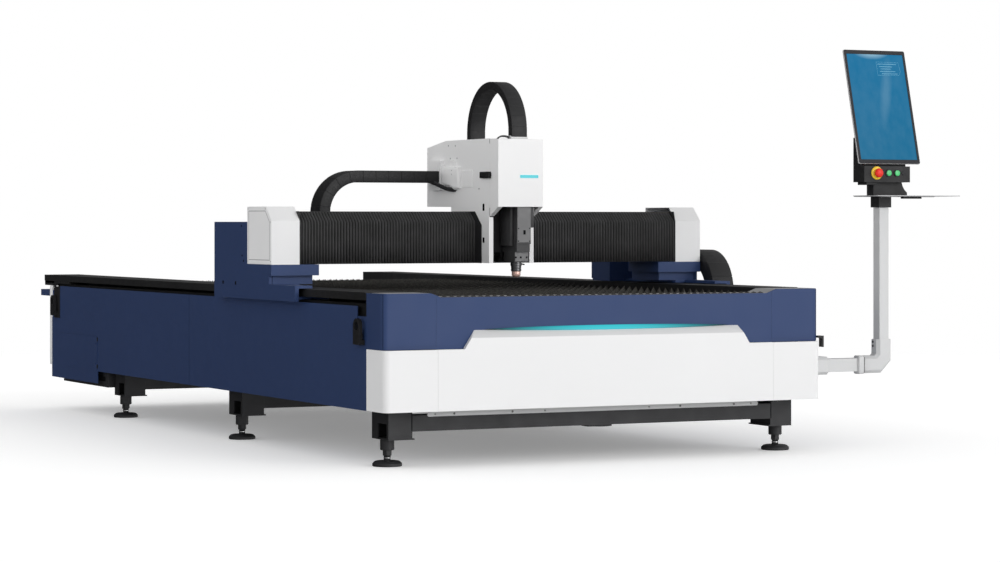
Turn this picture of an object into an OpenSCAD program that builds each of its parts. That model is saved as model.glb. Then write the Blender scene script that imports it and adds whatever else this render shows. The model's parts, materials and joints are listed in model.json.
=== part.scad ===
/* [Bed] */
// Width over the two side panels
bed_w = 2168; // [2120:1:2240]
// Rear end of the side panels, measured from the front feet
bed_rear = 4303; // [4250:1:4500]
// Lower edge of the side panels above the floor
panel_z0 = 240; // [230:1:255]
// Upper edge of the side panels above the floor
panel_z1 = 684; // [678:1:692]
// Sheet thickness of panels and covers
sheet_t = 4; // [3:0.5:4.5]
// Width of the side beam tubes
beam_w = 196; // [186:1:204]
// Wall of the welded frame tubes
tube_wall = 10; // [6:1:14]
// Top of the side beams, where the rails sit
beam_z1 = 640; // [634:1:642]
// Top of the black rail covers
band_z1 = 743; // [738:1:756]
// Rail cover overhang behind the side panels
band_over = 139; // [60:1:180]
// Rear lug length behind the side panels
lug_over = 217; // [190:1:260]
// Lower edge of the deep rear section of the left panel
apron_z0 = 175; // [160:1:210]

/* [Feet] */
// Distance of the feet inside the faces of the side panels
foot_in = 109; // [94:1:124]
// Distance between rows of feet
foot_pitch = 1684; // [1600:1:1740]
// Pad diameter
pad_d = 128; // [110:1:140]
// Pad height
pad_h = 24; // [18:1:30]
// Levelling stud diameter
stud_d = 30; // [24:1:34]
// Width across flats of the jam nut
nut_af = 46; // [42:1:50]
// Height of the jam nut
nut_h = 24; // [16:1:28]
// Outer diameter of the threaded sleeve
sleeve_d = 57; // [50:1:64]
// Lower end of the sleeve above the floor
sleeve_z0 = 69; // [60:1:80]
// Lower face of the foot bracket above the floor
bracket_z0 = 115; // [105:1:125]
// Length of the foot bracket along the bed
bracket_l = 172; // [150:1:190]

/* [Front] */
// Front face of the white lower panel
front_y = -212; // [-230:1:-205]
// Depth by which the white panel stands proud of the blue one
front_step = 20; // [12:1:26]
// Rear end of the front module
front_rear_y = -27; // [-40:1:-24]
// Corner radius of the front module
front_r = 28; // [15:1:40]
// Height of the boundary between the white and blue panels
front_split_z = 503; // [480:1:520]
// Top of the raised white field
field_z1 = 582; // [560:1:600]
// Width of a corner piece up to its vertical seam
corner_w = 249; // [220:1:280]
// Distance from the seam to the foot of the raised field
field_in = 127; // [100:1:160]
// Inward lean of the raised field's sloping ends
field_lean = 52; // [30:1:80]
// Height of the sloping ledge along the top of the raised field
ledge_h = 33; // [24:1:40]
// Dip of the upper edge between the corner pieces
top_dip = 18; // [10:1:20]
// Run of the slope at each end of the dip
dip_run = 48; // [30:1:60]
// Open seam between neighbouring panels
seam = 0.8; // [0.4:0.1:0.9]

/* [Slat table] */
// Number of slats
slat_n = 57; // [45:1:60]
// Distance between slats
slat_pitch = 58; // [50:1:60]
// First slat, measured from the front feet
slat_y0 = 60; // [40:1:80]
// Slat plate thickness
slat_t = 4; // [2:0.5:6]
// Height of the slat tips above the floor
slat_z1 = 722; // [716:1:726]
// Full height of a slat
slat_h = 120; // [100:1:140]
// Depth of the teeth
tooth_h = 24; // [16:1:32]
// Teeth on one slat
tooth_n = 16; // [10:1:20]

/* [Gantry] */
// Front face of the gantry at rest, from the front feet
gantry_y = 930; // [900:1:960]
// Overhang of the drop plates outside the side panels
gantry_over = 46; // [44:1:60]
// Width of a white end cap
cap_w = 139; // [120:1:150]
// Height of the end caps
cap_h = 265; // [255:1:290]
// Gantry tube depth
tube_d = 225; // [215:1:228]
// Gantry tube height
tube_h = 214; // [208:1:216]
// Pleat pitch of the bellows
pleat = 19; // [15:1:30]
// Pleat depth of the bellows
pleat_d = 18; // [12:1:19]

/* [Carriage] */
// Left face of the carriage at rest, from the middle of the bed
car_x0 = -91; // [-110:1:-70]
// Carriage width
car_w = 234; // [226:1:250]
// Carriage cover sheet
car_t = 3; // [2:0.5:4]
// Depth of the moving front cover
zcover_d = 86; // [76:1:96]
// Height of the moving front cover
zcover_h = 315; // [300:1:330]
// Laser head width
head_w = 72; // [60:1:80]
// Nozzle tip height above the slat tips
nozzle_gap = 62; // [58:1:75]
// Nozzle base diameter
nozzle_d = 43; // [36:1:50]
// Cutting gas bore of the nozzle
nozzle_bore = 4; // [2:0.5:6]

/* [Cable chains] */
// Bending radius of the long chains at the outer side
chain_r = 200; // [190:1:204]
// Height of the long chains
chain_t = 56; // [46:1:62]
// Width of the long chains
chain_w = 120; // [100:1:124]
// Link pitch of the long chains
chain_pitch = 66; // [55:1:80]
// Outer radius of the arched chain
arch_r = 238; // [230:1:245]
// Height of the arched chain's links
arch_t = 38; // [30:1:42]
// Width of the arched chain
arch_w = 84; // [70:1:96]

/* [Operator arm] */
// Distance of the post axis outside the right panel
post_out = 385; // [356:1:416]
// Post axis, from the front feet
post_y = -130; // [-140:1:-120]
// Side of the square post tube
post_w = 50; // [46:1:56]
// Height of the post
post_z1 = 1109; // [1050:1:1160]
// Wall of the arm tubes
arm_wall = 4; // [3:0.5:5]
// Swivel spigot diameter
spigot_d = 36; // [30:1:38]
// Monitor width
mon_w = 338; // [320:1:360]
// Monitor length
mon_l = 545; // [520:1:580]
// Monitor thickness
mon_t = 36; // [30:1:42]
// Backward tilt of the monitor in degrees
mon_tilt = 14; // [8:1:18]
// Keyboard shelf width
shelf_w = 465; // [420:1:500]
// Keyboard shelf depth
shelf_d = 200; // [180:1:220]

/* [Fits] */
// Running gap between parts that slide
gap = 0.4; // [0.3:0.05:0.6]
// Radial gap of turning shafts
turn_gap = 0.1; // [0.05:0.05:0.4]

/* [Hidden] */
$fn = 48;
half = bed_w / 2;
foot_x = half - foot_in;
seam_x = half - corner_w;
field_w0 = seam_x - field_in;
field_w1 = field_w0 - field_lean;
post_x = half + post_out;
beam_x1 = half - sheet_t;
beam_x0 = beam_x1 - beam_w;
band_x0 = beam_x0;
rail_x = half - 99;
rail_w = 34;
rail_h = 32;
lug_y0 = bed_rear - 30;
rail_y1 = lug_y0 - 10;
rack_x0 = half - 44;
rack_x1 = half - 22;
drop_z0 = panel_z1 + 3;
pin_z0 = panel_z1 + 2;
rack_z1 = pin_z0 + 9;
slot_z0 = rack_z1 + 1;
slot_z1 = slot_z0 + 11;
flange_z0 = slot_z1 + 3;
saddle_z0 = band_z1 + 3;
saddle_z1 = saddle_z0 + 12;
web_z1 = saddle_z1 + 40;
gz0 = web_z1 + 50;
gx = half + gantry_over;
drop_x0 = gx - 18;
saddle_y0 = gantry_y - 280;
rear_y = gantry_y + 719;
cap_rear = gantry_y + 297;
tube_y0 = gantry_y + 60;
tube_y1 = tube_y0 + tube_d;
tube_z1 = gz0 + tube_h;
cap_x0 = gx - cap_w;
motor_y = gantry_y + 605;
box_y0 = gantry_y + 500;
box_z1 = gz0 + 195;
pin_r = 32;
pin_x = rack_x1 + pin_r + gap;
shaft_d = 18;
row_y = [for (i = [0 : 2]) i * foot_pitch];
br_x0 = foot_x - 79;
br_x1 = foot_x + 33;
skirt_x = br_x0 - 69;
led_x = field_w1 - 56;
cross_y0 = -bracket_l / 2;
cross_y1 = cross_y0 + 100;
cross_z0 = bracket_z0 + 35;
cross_z1 = panel_z0 - 22;
blue_y = front_y + front_step;
front_z1 = band_z1 - 2;
dip_z = front_z1 - top_dip;
dip_x0 = seam_x - dip_run / 2;
dip_x1 = seam_x + dip_run / 2;
ledge_z0 = field_z1 - ledge_h;
ledge_k = ledge_h / front_step;
deck_x = half - front_r;
deck_t = 3;
riser_x = beam_x0 - seam;
tie_z1 = panel_z0 + 60;
slat_z0 = slat_z1 - slat_h;
comb_x1 = beam_x0;
comb_x0 = comb_x1 - 12;
slat_x1 = comb_x1 - gap;
slat_y1 = slat_y0 + (slat_n - 1) * slat_pitch;
deck_y0 = slat_y1 + 40;
bx0 = car_x0;
bx1 = car_x0 + car_w;
car_mid = (bx0 + bx1) / 2;
plate_y0 = gantry_y + 4;
plate_y1 = plate_y0 + 20;
cov_z0 = gz0 + 268;
cov_z1 = gz0 + 584;
cov_rear = gantry_y + 544;
lip_y = gantry_y - 132;
zc_y1 = gantry_y - 142;
zc_y0 = zc_y1 - zcover_d;
zc_z0 = gz0 + 265;
zc_z1 = zc_z0 + zcover_h;
head_x = car_mid + 24;
head_y = gantry_y - 133;
slide_y0 = gantry_y - 56;
slide_y1 = slide_y0 + 16;
screw_y = gantry_y - 26;
screw_d = 16;
shelf_z0 = gz0 + 392;
tip_z = slat_z1 + nozzle_gap;
xr_y0 = tube_y0 - 24;
xr_z = [gz0 + 43.5, gz0 + 183.5];
xr_w = 23;
xrack_z0 = gz0 + 188;
xrack_z1 = gz0 + 210;
xpin_r = 24;
xpin_y = tube_y1 + 22 + xpin_r + gap;
bridge_z0 = tube_z1 + 8;
bridge_z1 = bridge_z0 + 20;
bel_y0 = gantry_y + 4;
bel_z0 = gz0 + 2;
bel_c = 47;
bel_z1 = gz0 + 242;
bel_y1 = tube_y1 - 15;
xc_y0 = gantry_y + 360;
xc_z = gz0 + 239;
xc_bend = bx0 - 447;
xc_end = bx0 - 22;
xc_fix = bx0 - 9;
yc_x0 = gx + 5;
yc_z = gz0 - 143;
yc_bend = gantry_y + 85;
yc_end = gantry_y + 490;
yc_run = 880;
yc_fix = yc_end + yc_run;
tray_z0 = yc_z - chain_r - 6;
tray_y0 = gantry_y - 450;
arch_y = gantry_y + 11;
arch_z = gz0 + 618;
arch_x0 = car_mid - 6 - arch_w / 2;
arm_z = 387;
elbow_z1 = 502;
collar_z1 = post_z1 + 48;
shelf_z = collar_z1 + 1;
neck_z0 = shelf_z + 6;
neck_z1 = neck_z0 + 61;
box_x0 = post_x - 139;
box_x1 = post_x + 113;
cb_y0 = post_y - 70;
cb_y1 = post_y + 20;
cb_z1 = neck_z1 + 205;
mon_x0 = post_x - 166;
mon_z0 = neck_z1 + 85;
lip_z1 = mon_z0 - mon_t * sin(mon_tilt) - 3;
stop_x = post_x - 71;
key_z = neck_z1 + 42;
x_min = -gx;
x_max = post_x - 131 + shelf_w;
y_min = post_y + 40 - shelf_d;
y_max = bed_rear + lug_over;
mid_x = (x_min + x_max) / 2;
mid_y = (y_min + y_max) / 2;
blue = [0.15, 0.21, 0.38];
white = [0.92, 0.92, 0.92];
black = [0.1, 0.1, 0.11];
dark = [0.25, 0.25, 0.27];
steel = [0.7, 0.71, 0.73];

module home() {
  translate([-mid_x, -mid_y, 0]) children();
}

module slab(a, b) {
  translate(a) cube(b - a);
}

module pair() {
  children();
  mirror([1, 0, 0]) children();
}

module along_x(x0, x1) {
  translate([x0, 0, 0]) rotate([90, 0, 90]) linear_extrude(height = x1 - x0) children();
}

module along_y(y0, y1) {
  translate([0, y1, 0]) rotate([90, 0, 0]) linear_extrude(height = y1 - y0) children();
}

module upright(x, y, z0, z1, d) {
  translate([x, y, z0]) cylinder(h = z1 - z0, d = d);
}

module facing(x, z, y0, y1, d) {
  translate([x, y1, z]) rotate([90, 0, 0]) cylinder(h = y1 - y0, d = d);
}

module frame2d(a0, b0, a1, b1, t) {
  difference() {
    translate([a0, b0]) square([a1 - a0, b1 - b0]);
    translate([a0 + t, b0 + t]) square([a1 - a0 - 2 * t, b1 - b0 - 2 * t]);
  }
}

// Rectangle with its corner at greatest x and least y rounded
module corner2d(x0, y0, x1, y1, r) {
  translate([x0, y0]) square([x1 - r - x0, y1 - y0]);
  translate([x0, y0 + r]) square([x1 - x0, y1 - r - y0]);
  translate([x1 - r, y0 + r]) circle(r);
}

// Rectangle with four round corners
module soft2d(x0, y0, x1, y1, r) {
  translate([x0 + r, y0]) square([x1 - x0 - 2 * r, y1 - y0]);
  translate([x0, y0 + r]) square([x1 - x0, y1 - y0 - 2 * r]);
  for (x = [x0 + r, x1 - r], y = [y0 + r, y1 - r]) translate([x, y]) circle(r);
}

// Welded side beam tube with its rear lug
module side_beams() {
  color(blue) home() pair() {
    along_y(-20, bed_rear) frame2d(beam_x0, panel_z0, beam_x1, beam_z1, tube_wall);
    slab([beam_x1 - 50, lug_y0, beam_z1 - 15], [beam_x1, y_max, beam_z1 + 20]);
  }
}

// Ties between the foot brackets and ties that carry the slag tray
module cross_beams() {
  color(dark) home() {
    for (y = row_y) {
      translate([0, y, 0]) along_x(-br_x0, br_x0) frame2d(cross_y0, cross_z0, cross_y1, cross_z1, 6);
    }
    for (y = [120, row_y[1] - 60, slat_y1 - 200, bed_rear - 160]) {
      along_x(-beam_x0, beam_x0) frame2d(y, panel_z0, y + 80, tie_z1, 6);
    }
    slab([-36, cross_y0 + 20, cross_z0 - 8], [84, cross_y1 - 20, cross_z0]);
  }
}

module foot_brackets() {
  color(dark) home() pair() for (y = row_y) translate([0, y, 0]) difference() {
    union() {
      linear_extrude_box();
      slab([br_x0 - 10, -bracket_l / 2, bracket_z0], [br_x1, bracket_l / 2, bracket_z0 + 6]);
      upright(foot_x, 0, sleeve_z0, bracket_z0 + 1, sleeve_d);
    }
    upright(foot_x, 0, sleeve_z0 - 1, bracket_z0 + 20, stud_d + 2 * turn_gap);
    slab([br_x1 - 20, -67, bracket_z0 + 6], [br_x1 + 1, 27, bracket_z0 + 69]);
  }
}

module linear_extrude_box() {
  translate([0, 0, bracket_z0]) linear_extrude(height = panel_z0 - bracket_z0)
    frame2d(br_x0, -bracket_l / 2, br_x1, bracket_l / 2, 8);
}

module levelling_feet() {
  color(dark) home() pair() for (y = row_y) translate([foot_x, y, 0]) {
    cylinder(h = pad_h - 6, d = pad_d);
    translate([0, 0, pad_h - 6]) cylinder(h = 6, d1 = pad_d, d2 = pad_d - 24);
    upright(0, 0, pad_h, bracket_z0 + 70, stud_d);
    translate([0, 0, sleeve_z0 - nut_h]) cylinder(h = nut_h, d = nut_af / cos(30), $fn = 6);
  }
}

function panel_notch_f() = 70;
function panel_notch_r() = bed_rear - 143;

module panel2d(low) {
  polygon([
    [front_rear_y + seam, panel_z0], [bed_rear - 790, panel_z0], [bed_rear - 790, low], [bed_rear, low],
    [bed_rear, panel_z1 - 178], [panel_notch_r(), panel_z1 - 178], [panel_notch_r(), panel_z1],
    [panel_notch_f(), panel_z1], [panel_notch_f(), panel_z1 - 167], [front_rear_y + seam, panel_z1 - 167]
  ]);
}

module side_panels() {
  color(blue) home() {
    along_x(half - sheet_t, half) panel2d(apron_z0);
    along_x(-half, -half + sheet_t) panel2d(apron_z0);
  }
}

// Screwed sheet over the service opening on the left
module access_cover() {
  color(blue) home() along_x(-half - 3, -half) difference() {
    soft2d(bed_rear - 786, panel_z0 + 2, bed_rear - 143, panel_z0 + 186, 6);
    for (z = [panel_z0 + 40, panel_z0 + 148]) translate([bed_rear - 770, z]) circle(d = 12);
  }
}

module rear_panel() {
  color(white) home() along_y(bed_rear, bed_rear + sheet_t) difference() {
    translate([-half, apron_z0]) square([2 * half, beam_z1 - 20 - apron_z0]);
    translate([0, 430]) circle(d = 250);
  }
}

// Space above the dipped upper edge of the front
module dip2d() {
  polygon([
    [-dip_x1, front_z1], [-dip_x0, dip_z], [dip_x0, dip_z], [dip_x1, front_z1],
    [dip_x1, front_z1 + 1], [-dip_x1, front_z1 + 1]
  ]);
}

module front_panel_upper() {
  color(blue) home() difference() {
    slab([-seam_x + seam, blue_y, front_split_z], [seam_x - seam, blue_y + sheet_t, front_z1]);
    along_y(blue_y - 1, blue_y + sheet_t + 1) dip2d();
  }
}

module field2d(o) {
  w = seam_x - seam - o;
  polygon([
    [-w, panel_z0 + 1 + o], [w, panel_z0 + 1 + o], [w, front_split_z - seam - o],
    [field_w0 - o, front_split_z - seam - o],
    [field_w1 - o, field_z1 - o], [-field_w1 + o, field_z1 - o], [-field_w0 + o, front_split_z - seam - o],
    [-w, front_split_z - seam - o]
  ]);
}

// White lower pan with the raised field, its folded rim and its sloping ledge
module front_panel_lower() {
  color(white) home() {
    difference() {
      union() {
        along_y(front_y, front_y + sheet_t) field2d(0);
        along_y(front_y, blue_y) difference() {
          field2d(0);
          field2d(sheet_t);
        }
      }
      along_x(-field_w0, field_w0) polygon([
        [front_y - 1, ledge_z0 - ledge_k], [blue_y + 1, field_z1 + ledge_k], [blue_y + 1, field_z1 + ledge_h],
        [front_y - 1, field_z1 + ledge_h]
      ]);
    }
    intersection() {
      along_y(front_y, blue_y) field2d(0);
      along_x(-field_w0, field_w0) polygon([
        [front_y, ledge_z0], [blue_y, field_z1], [blue_y, field_z1 - 2 * sheet_t],
        [front_y, ledge_z0 - 2 * sheet_t]
      ]);
    }
  }
}

module corner_shell(y0, z0, z1) {
  pair() translate([0, 0, z0]) linear_extrude(height = z1 - z0) difference() {
    corner2d(seam_x, y0, half, front_rear_y, front_r);
    corner2d(seam_x - 1, y0 + sheet_t, half - sheet_t, front_rear_y + 1, front_r - sheet_t);
  }
}

module front_corners_upper() {
  color(blue) home() difference() {
    corner_shell(blue_y, front_split_z, front_z1);
    along_y(blue_y - 1, blue_y + sheet_t + 1) dip2d();
  }
}

module front_corners_lower() {
  color(white) home() corner_shell(front_y, panel_z0 + 1, front_split_z - seam);
}

// Grey decks before and behind the slat table
module deck_plates() {
  color([0.62, 0.63, 0.65]) home() {
    along_y(blue_y + sheet_t, -20 - seam) polygon([
      [-deck_x, front_z1], [-dip_x1, front_z1], [-dip_x0, dip_z], [dip_x0, dip_z], [dip_x1, front_z1],
      [deck_x, front_z1],
      [deck_x, front_z1 - deck_t], [dip_x1, front_z1 - deck_t], [dip_x0, dip_z - deck_t],
      [-dip_x0, dip_z - deck_t],
      [-dip_x1, front_z1 - deck_t], [-deck_x, front_z1 - deck_t]
    ]);
    slab([-riser_x, -20, dip_z - 5], [riser_x, slat_y0 - 30, dip_z - 1]);
    along_y(-20 - seam - 3, -20) polygon([
      [-riser_x, dip_z - 5], [riser_x, dip_z - 5], [riser_x, front_z1], [dip_x1, front_z1], [dip_x0, dip_z],
      [-dip_x0, dip_z], [-dip_x1, front_z1], [-riser_x, front_z1]
    ]);
    slab([-beam_x0 + seam, deck_y0, band_z1 - 55], [beam_x0 - seam, bed_rear, band_z1 - 51]);
  }
}

module front_led() {
  color([0.1, 0.75, 0.72]) home() slab([-led_x, blue_y - 4, field_z1 + 3], [led_x, blue_y, field_z1 + 18]);
}

module front_skirt() {
  color([0.8, 0.8, 0.81]) home() along_y(cross_y0 - 4, cross_y0) difference() {
    soft2d(-skirt_x, cross_z1 - 6, skirt_x, cross_z1 + 14, 9);
    for (x = (skirt_x - 37) * [-1, -0.33, 0.33, 1]) translate([x, cross_z1 + 4]) circle(d = 7);
  }
}

// Folded cover over each linear rail, open to the outside for the saddle plate
module rail_covers() {
  color(black) home() pair() along_y(-20, bed_rear + band_over) {
    translate([band_x0, band_z1 - sheet_t]) square([half - band_x0, sheet_t]);
    translate([half - sheet_t, flange_z0]) square([sheet_t, band_z1 - flange_z0]);
    translate([band_x0, beam_z1]) square([sheet_t, band_z1 - beam_z1]);
  }
}

module y_rails() {
  color(steel) home() pair() {
    slab([rail_x - rail_w / 2, 0, beam_z1], [rail_x + rail_w / 2, rail_y1, beam_z1 + rail_h]);
    slab([rack_x0, 0, beam_z1], [rack_x1, rail_y1, rack_z1]);
  }
}

// Notched strips that hold the slat ends
module slat_combs() {
  color(black) home() pair() {
    along_x(comb_x0, comb_x1) difference() {
      translate([-20, slat_z0 - 50]) square([slat_y1 + 60, 130]);
      for (i = [0 : slat_n - 1]) translate([slat_y0 + i * slat_pitch - slat_t / 2 - gap, slat_z0])
        square([slat_t + 2 * gap, 90]);
    }
  }
}

function slat_outline() = let (p = 2 * slat_x1 / tooth_n) concat(
  [[slat_x1, slat_z0], [-slat_x1, slat_z0], [-slat_x1, slat_z1 - tooth_h]],
  [for (i = [0 : tooth_n - 1], k = [0, 1])
    k == 0 ? [-slat_x1 + (i + 0.5) * p, slat_z1] : [-slat_x1 + (i + 1) * p, slat_z1 - tooth_h]]
);

module slats() {
  color([0.35, 0.34, 0.33]) home() for (i = [0 : slat_n - 1]) {
    y = slat_y0 + i * slat_pitch;
    along_y(y - slat_t / 2, y + slat_t / 2) polygon(slat_outline());
  }
}

module slag_trays() {
  color(dark) home() difference() {
    slab([-beam_x0 + 30, 60, tie_z1], [beam_x0 - 30, slat_y1 + 20, tie_z1 + 60]);
    slab([-beam_x0 + 34, 64, tie_z1 + 4], [beam_x0 - 34, slat_y1 + 16, tie_z1 + 61]);
  }
}

module eye2d(y, z) {
  difference() {
    union() {
      translate([y - 32, z - 60]) square([64, 60]);
      translate([y, z]) circle(r = 32);
    }
    translate([y, z]) circle(d = 40);
  }
}

// Lifting eyes in the panel notches and the small hook at the right front
module lifting_eyes() {
  color(black) home() {
    pair() for (y = [30, bed_rear - 70]) {
      along_x(half + 8, half + 24) eye2d(y, panel_z1 - 84);
      slab([beam_x1, y - 32, panel_z1 - 164], [half + 24, y + 32, panel_z1 - 144]);
    }
    slab([half, front_rear_y - 70, 477], [half + 18, front_rear_y - 40, 485]);
    slab([half + 18, front_rear_y - 70, 477], [half + 24, front_rear_y - 40, 523]);
  }
}

// Shelf on the right panel for the long chain
module y_chain_tray() {
  color(dark) home() {
    slab([half, tray_y0, tray_z0], [gx + 132, yc_fix, tray_z0 + 6 - gap]);
    slab([gx + 128, tray_y0, tray_z0], [gx + 132, yc_fix, tray_z0 + 61]);
    for (y = [tray_y0 + 100, (tray_y0 + yc_fix) / 2 - 10, yc_fix - 120]) {
      slab([half, y, tray_z0 - 50], [half + 120, y + 6, tray_z0]);
    }
    slab([half, yc_fix + gap, tray_z0], [gx + 132, yc_fix + 6, tray_z0 + 70]);
  }
}

// Side view of a cable chain lying round a half turn, bend to the left of the origin
module chain2d(top, bottom, r, t, pitch) {
  q = pitch / (r - t / 2) * 180 / PI;
  difference() {
    union() {
      translate([-0.01, r - t]) square([top, t]);
      translate([-0.01, -r]) square([bottom, t]);
      difference() {
        circle(r = r, $fn = 96);
        circle(r = r - t, $fn = 96);
        translate([0, -r - 1]) square([r + 1, 2 * r + 2]);
      }
    }
    for (a = [pitch / 2 : pitch : top - 8]) {
      translate([a, r - 5]) square([4, 6]);
      translate([a, r - t - 1]) square([4, 6]);
    }
    for (a = [pitch / 2 : pitch : bottom - 8]) {
      translate([a, -r - 1]) square([4, 6]);
      translate([a, -r + t - 5]) square([4, 6]);
    }
    for (w = [90 + q / 2 : q : 268]) rotate(w) {
      translate([r - 5, -2]) square([6, 4]);
      translate([r - t - 1, -2]) square([6, 4]);
    }
  }
}

module y_chain() {
  color(black) home() along_x(yc_x0, yc_x0 + chain_w) translate([yc_bend, yc_z])
    chain2d(yc_end - yc_bend, yc_fix - yc_bend, chain_r, chain_t, chain_pitch);
}

// Socket, collar and elbow of the operator arm
module arm_castings() {
  color(steel) home() {
    along_x(half, half + 84) frame2d(post_y - 40, arm_z - 40, post_y + 40, arm_z + 40, 10 - gap);
    along_x(post_x - 148, post_x - 119) frame2d(post_y - 41, arm_z - 41, post_y + 41, arm_z + 41, 11 - gap);
    along_y(post_y - 36, post_y + 36) difference() {
      polygon([
        [post_x - 119, arm_z - 42], [post_x + 5, arm_z - 42], [post_x + 39, arm_z - 8],
        [post_x + 39, elbow_z1],
        [post_x - 39, elbow_z1], [post_x - 39, arm_z + 43], [post_x - 119, arm_z + 43]
      ]);
      translate([post_x - 120, arm_z - 30]) square([40, 60]);
      translate([post_x - post_w / 2, elbow_z1 - 40]) square([post_w, 41]);
    }
  }
}

// Square tubes of the arm and the post with its bored head
module arm_tubes() {
  color(steel) home() {
    along_x(half + 1, post_x - 80) frame2d(post_y - 30, arm_z - 30, post_y + 30, arm_z + 30, arm_wall);
    translate([post_x, post_y, 0]) difference() {
      translate([-post_w / 2, -post_w / 2, elbow_z1 - 40]) cube([post_w, post_w, post_z1 - elbow_z1 + 40]);
      translate([-post_w / 2 + arm_wall, -post_w / 2 + arm_wall, elbow_z1 - 41])
        cube([post_w - 2 * arm_wall, post_w - 2 * arm_wall, post_z1 - elbow_z1 - 40]);
      upright(0, 0, post_z1 - 90, post_z1 + 1, spigot_d + 2 * turn_gap);
    }
  }
}

module gantry_beam() {
  color(blue) home() along_x(-gx + 30, gx - 30) frame2d(tube_y0, gz0, tube_y1, tube_z1, 12);
}

module cap2d(o) {
  polygon([
    [gantry_y + o, gz0 - 1 + (o > 0 ? 0 : 1)], [gantry_y + o, gz0 + 201 - 0.4 * o],
    [gantry_y + 64 + 0.4 * o, gz0 + cap_h - o], [cap_rear - o, gz0 + cap_h - o],
    [cap_rear - o, gz0 - 1 + (o > 0 ? 0 : 1)]
  ]);
}

module end_caps() {
  color(white) home() pair() difference() {
    along_x(cap_x0, gx) cap2d(0);
    along_x(cap_x0 - 1, gx - sheet_t) cap2d(sheet_t);
  }
}

module bracket_body() {
  difference() {
    union() {
      slab([drop_x0, saddle_y0, drop_z0], [gx, rear_y, saddle_z1]);
      slab([rail_x - 50, saddle_y0 + 40, slot_z0], [drop_x0 + 1, rear_y, slot_z1]);
      slab([gx - 84, saddle_y0, saddle_z0], [gx, gantry_y + 1, saddle_z1]);
      slab([gx - 140, gantry_y, saddle_z0], [gx, rear_y, saddle_z1]);
      slab([gx - 215, gantry_y + 30, saddle_z1], [drop_x0, cap_rear, web_z1]);
      slab([gx - 235, gantry_y, web_z1], [gx, cap_rear, gz0]);
      slab([gx - 15, gantry_y + 30, saddle_z1 - 1], [gx, cap_rear + 1, web_z1 + 1]);
      slab([gx - 15, cap_rear, saddle_z1 - 1], [gx, box_y0 + 1, box_z1]);
      motor_box();
    }
    upright(pin_x, motor_y, pin_z0 - 2, slot_z0, 2 * pin_r + 2);
    upright(pin_x, motor_y, slot_z0, saddle_z1 + 1, shaft_d + 2 * turn_gap);
  }
}

module motor_box() {
  translate([0, 0, saddle_z1 - 1]) linear_extrude(height = box_z1 - saddle_z1 + 1) difference() {
    union() {
      translate([gx - 190, box_y0]) square([190, rear_y - box_y0]);
      translate([gx - 230, box_y0]) square([41, rear_y - box_y0 - 40]);
      translate([gx - 190, rear_y - 40]) circle(r = 40);
    }
    translate([gx - 226, box_y0 + 4]) square([222, rear_y - box_y0 - 44]);
    translate([gx - 190, rear_y - 41]) square([186, 37]);
  }
  slab([gx - 190, box_y0 + 1, box_z1 - 4], [gx - 1, rear_y - 1, box_z1]);
  slab([gx - 229, box_y0 + 1, box_z1 - 4], [gx - 189, rear_y - 40, box_z1]);
  slab([gx - 230, box_y0, saddle_z0], [gx - 139, rear_y - 40, saddle_z1]);
}

module gantry_brackets() {
  color(blue) home() {
    pair() bracket_body();
    slab([gx, yc_end + gap, yc_z + chain_r - chain_t - 4], [gx + 125, yc_end + 12, yc_z + chain_r + 4]);
  }
}

module y_motors() {
  color(black) home() pair() difference() {
    union() {
      slab([pin_x - 29, motor_y - 29, saddle_z1], [pin_x + 29, motor_y + 29, saddle_z1 + 80]);
      slab([pin_x - 28, motor_y - 28, saddle_z1 + 79], [pin_x + 28, motor_y + 28, saddle_z1 + 210]);
    }
    upright(pin_x, motor_y, saddle_z1 - 1, saddle_z1 + 36, shaft_d + 2 * turn_gap);
  }
}

module y_guide_blocks() {
  color(steel) home() pair() for (y = [saddle_y0 + 100, gantry_y + 130, rear_y - 170]) {
    difference() {
      slab([rail_x - 45, y - 50, beam_z1 + 12], [rail_x + 45, y + 50, slot_z0]);
      slab(
        [rail_x - rail_w / 2 - gap, y - 51, beam_z1],
        [rail_x + rail_w / 2 + gap, y + 51, beam_z1 + rail_h + gap]
      );
    }
  }
}

module x_rails() {
  color(steel) home() {
    for (z = xr_z) slab([-gx + 145, xr_y0, z - xr_w / 2], [gx - 145, tube_y0, z + xr_w / 2]);
    slab([-gx + 145, tube_y1, xrack_z0], [gx - 145, tube_y1 + 22, xrack_z1]);
  }
}

module x_chain_tray() {
  color(dark) home() {
    slab([-gx + 225, tube_y1, xc_z - chain_r - 6], [xc_fix + 40, xc_y0 + chain_w + 5, xc_z - chain_r - gap]);
    slab([xc_fix + gap, xc_y0, xc_z - chain_r - 1], [xc_fix + 6, xc_y0 + chain_w, xc_z - chain_r + chain_t]);
  }
}

module x_chain() {
  color(black) home() along_y(xc_y0, xc_y0 + chain_w) translate([xc_bend, xc_z])
    chain2d(xc_end - xc_bend - gap, xc_fix - xc_bend, chain_r, chain_t, chain_pitch);
}

function fold(o) = [
  [bel_y0 + o, bel_z0], [bel_y0 + o, bel_z1 - bel_c - 0.4 * o], [bel_y0 + 56 + 0.4 * o, bel_z1 - o],
  [bel_y1, bel_z1 - o]
];

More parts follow.
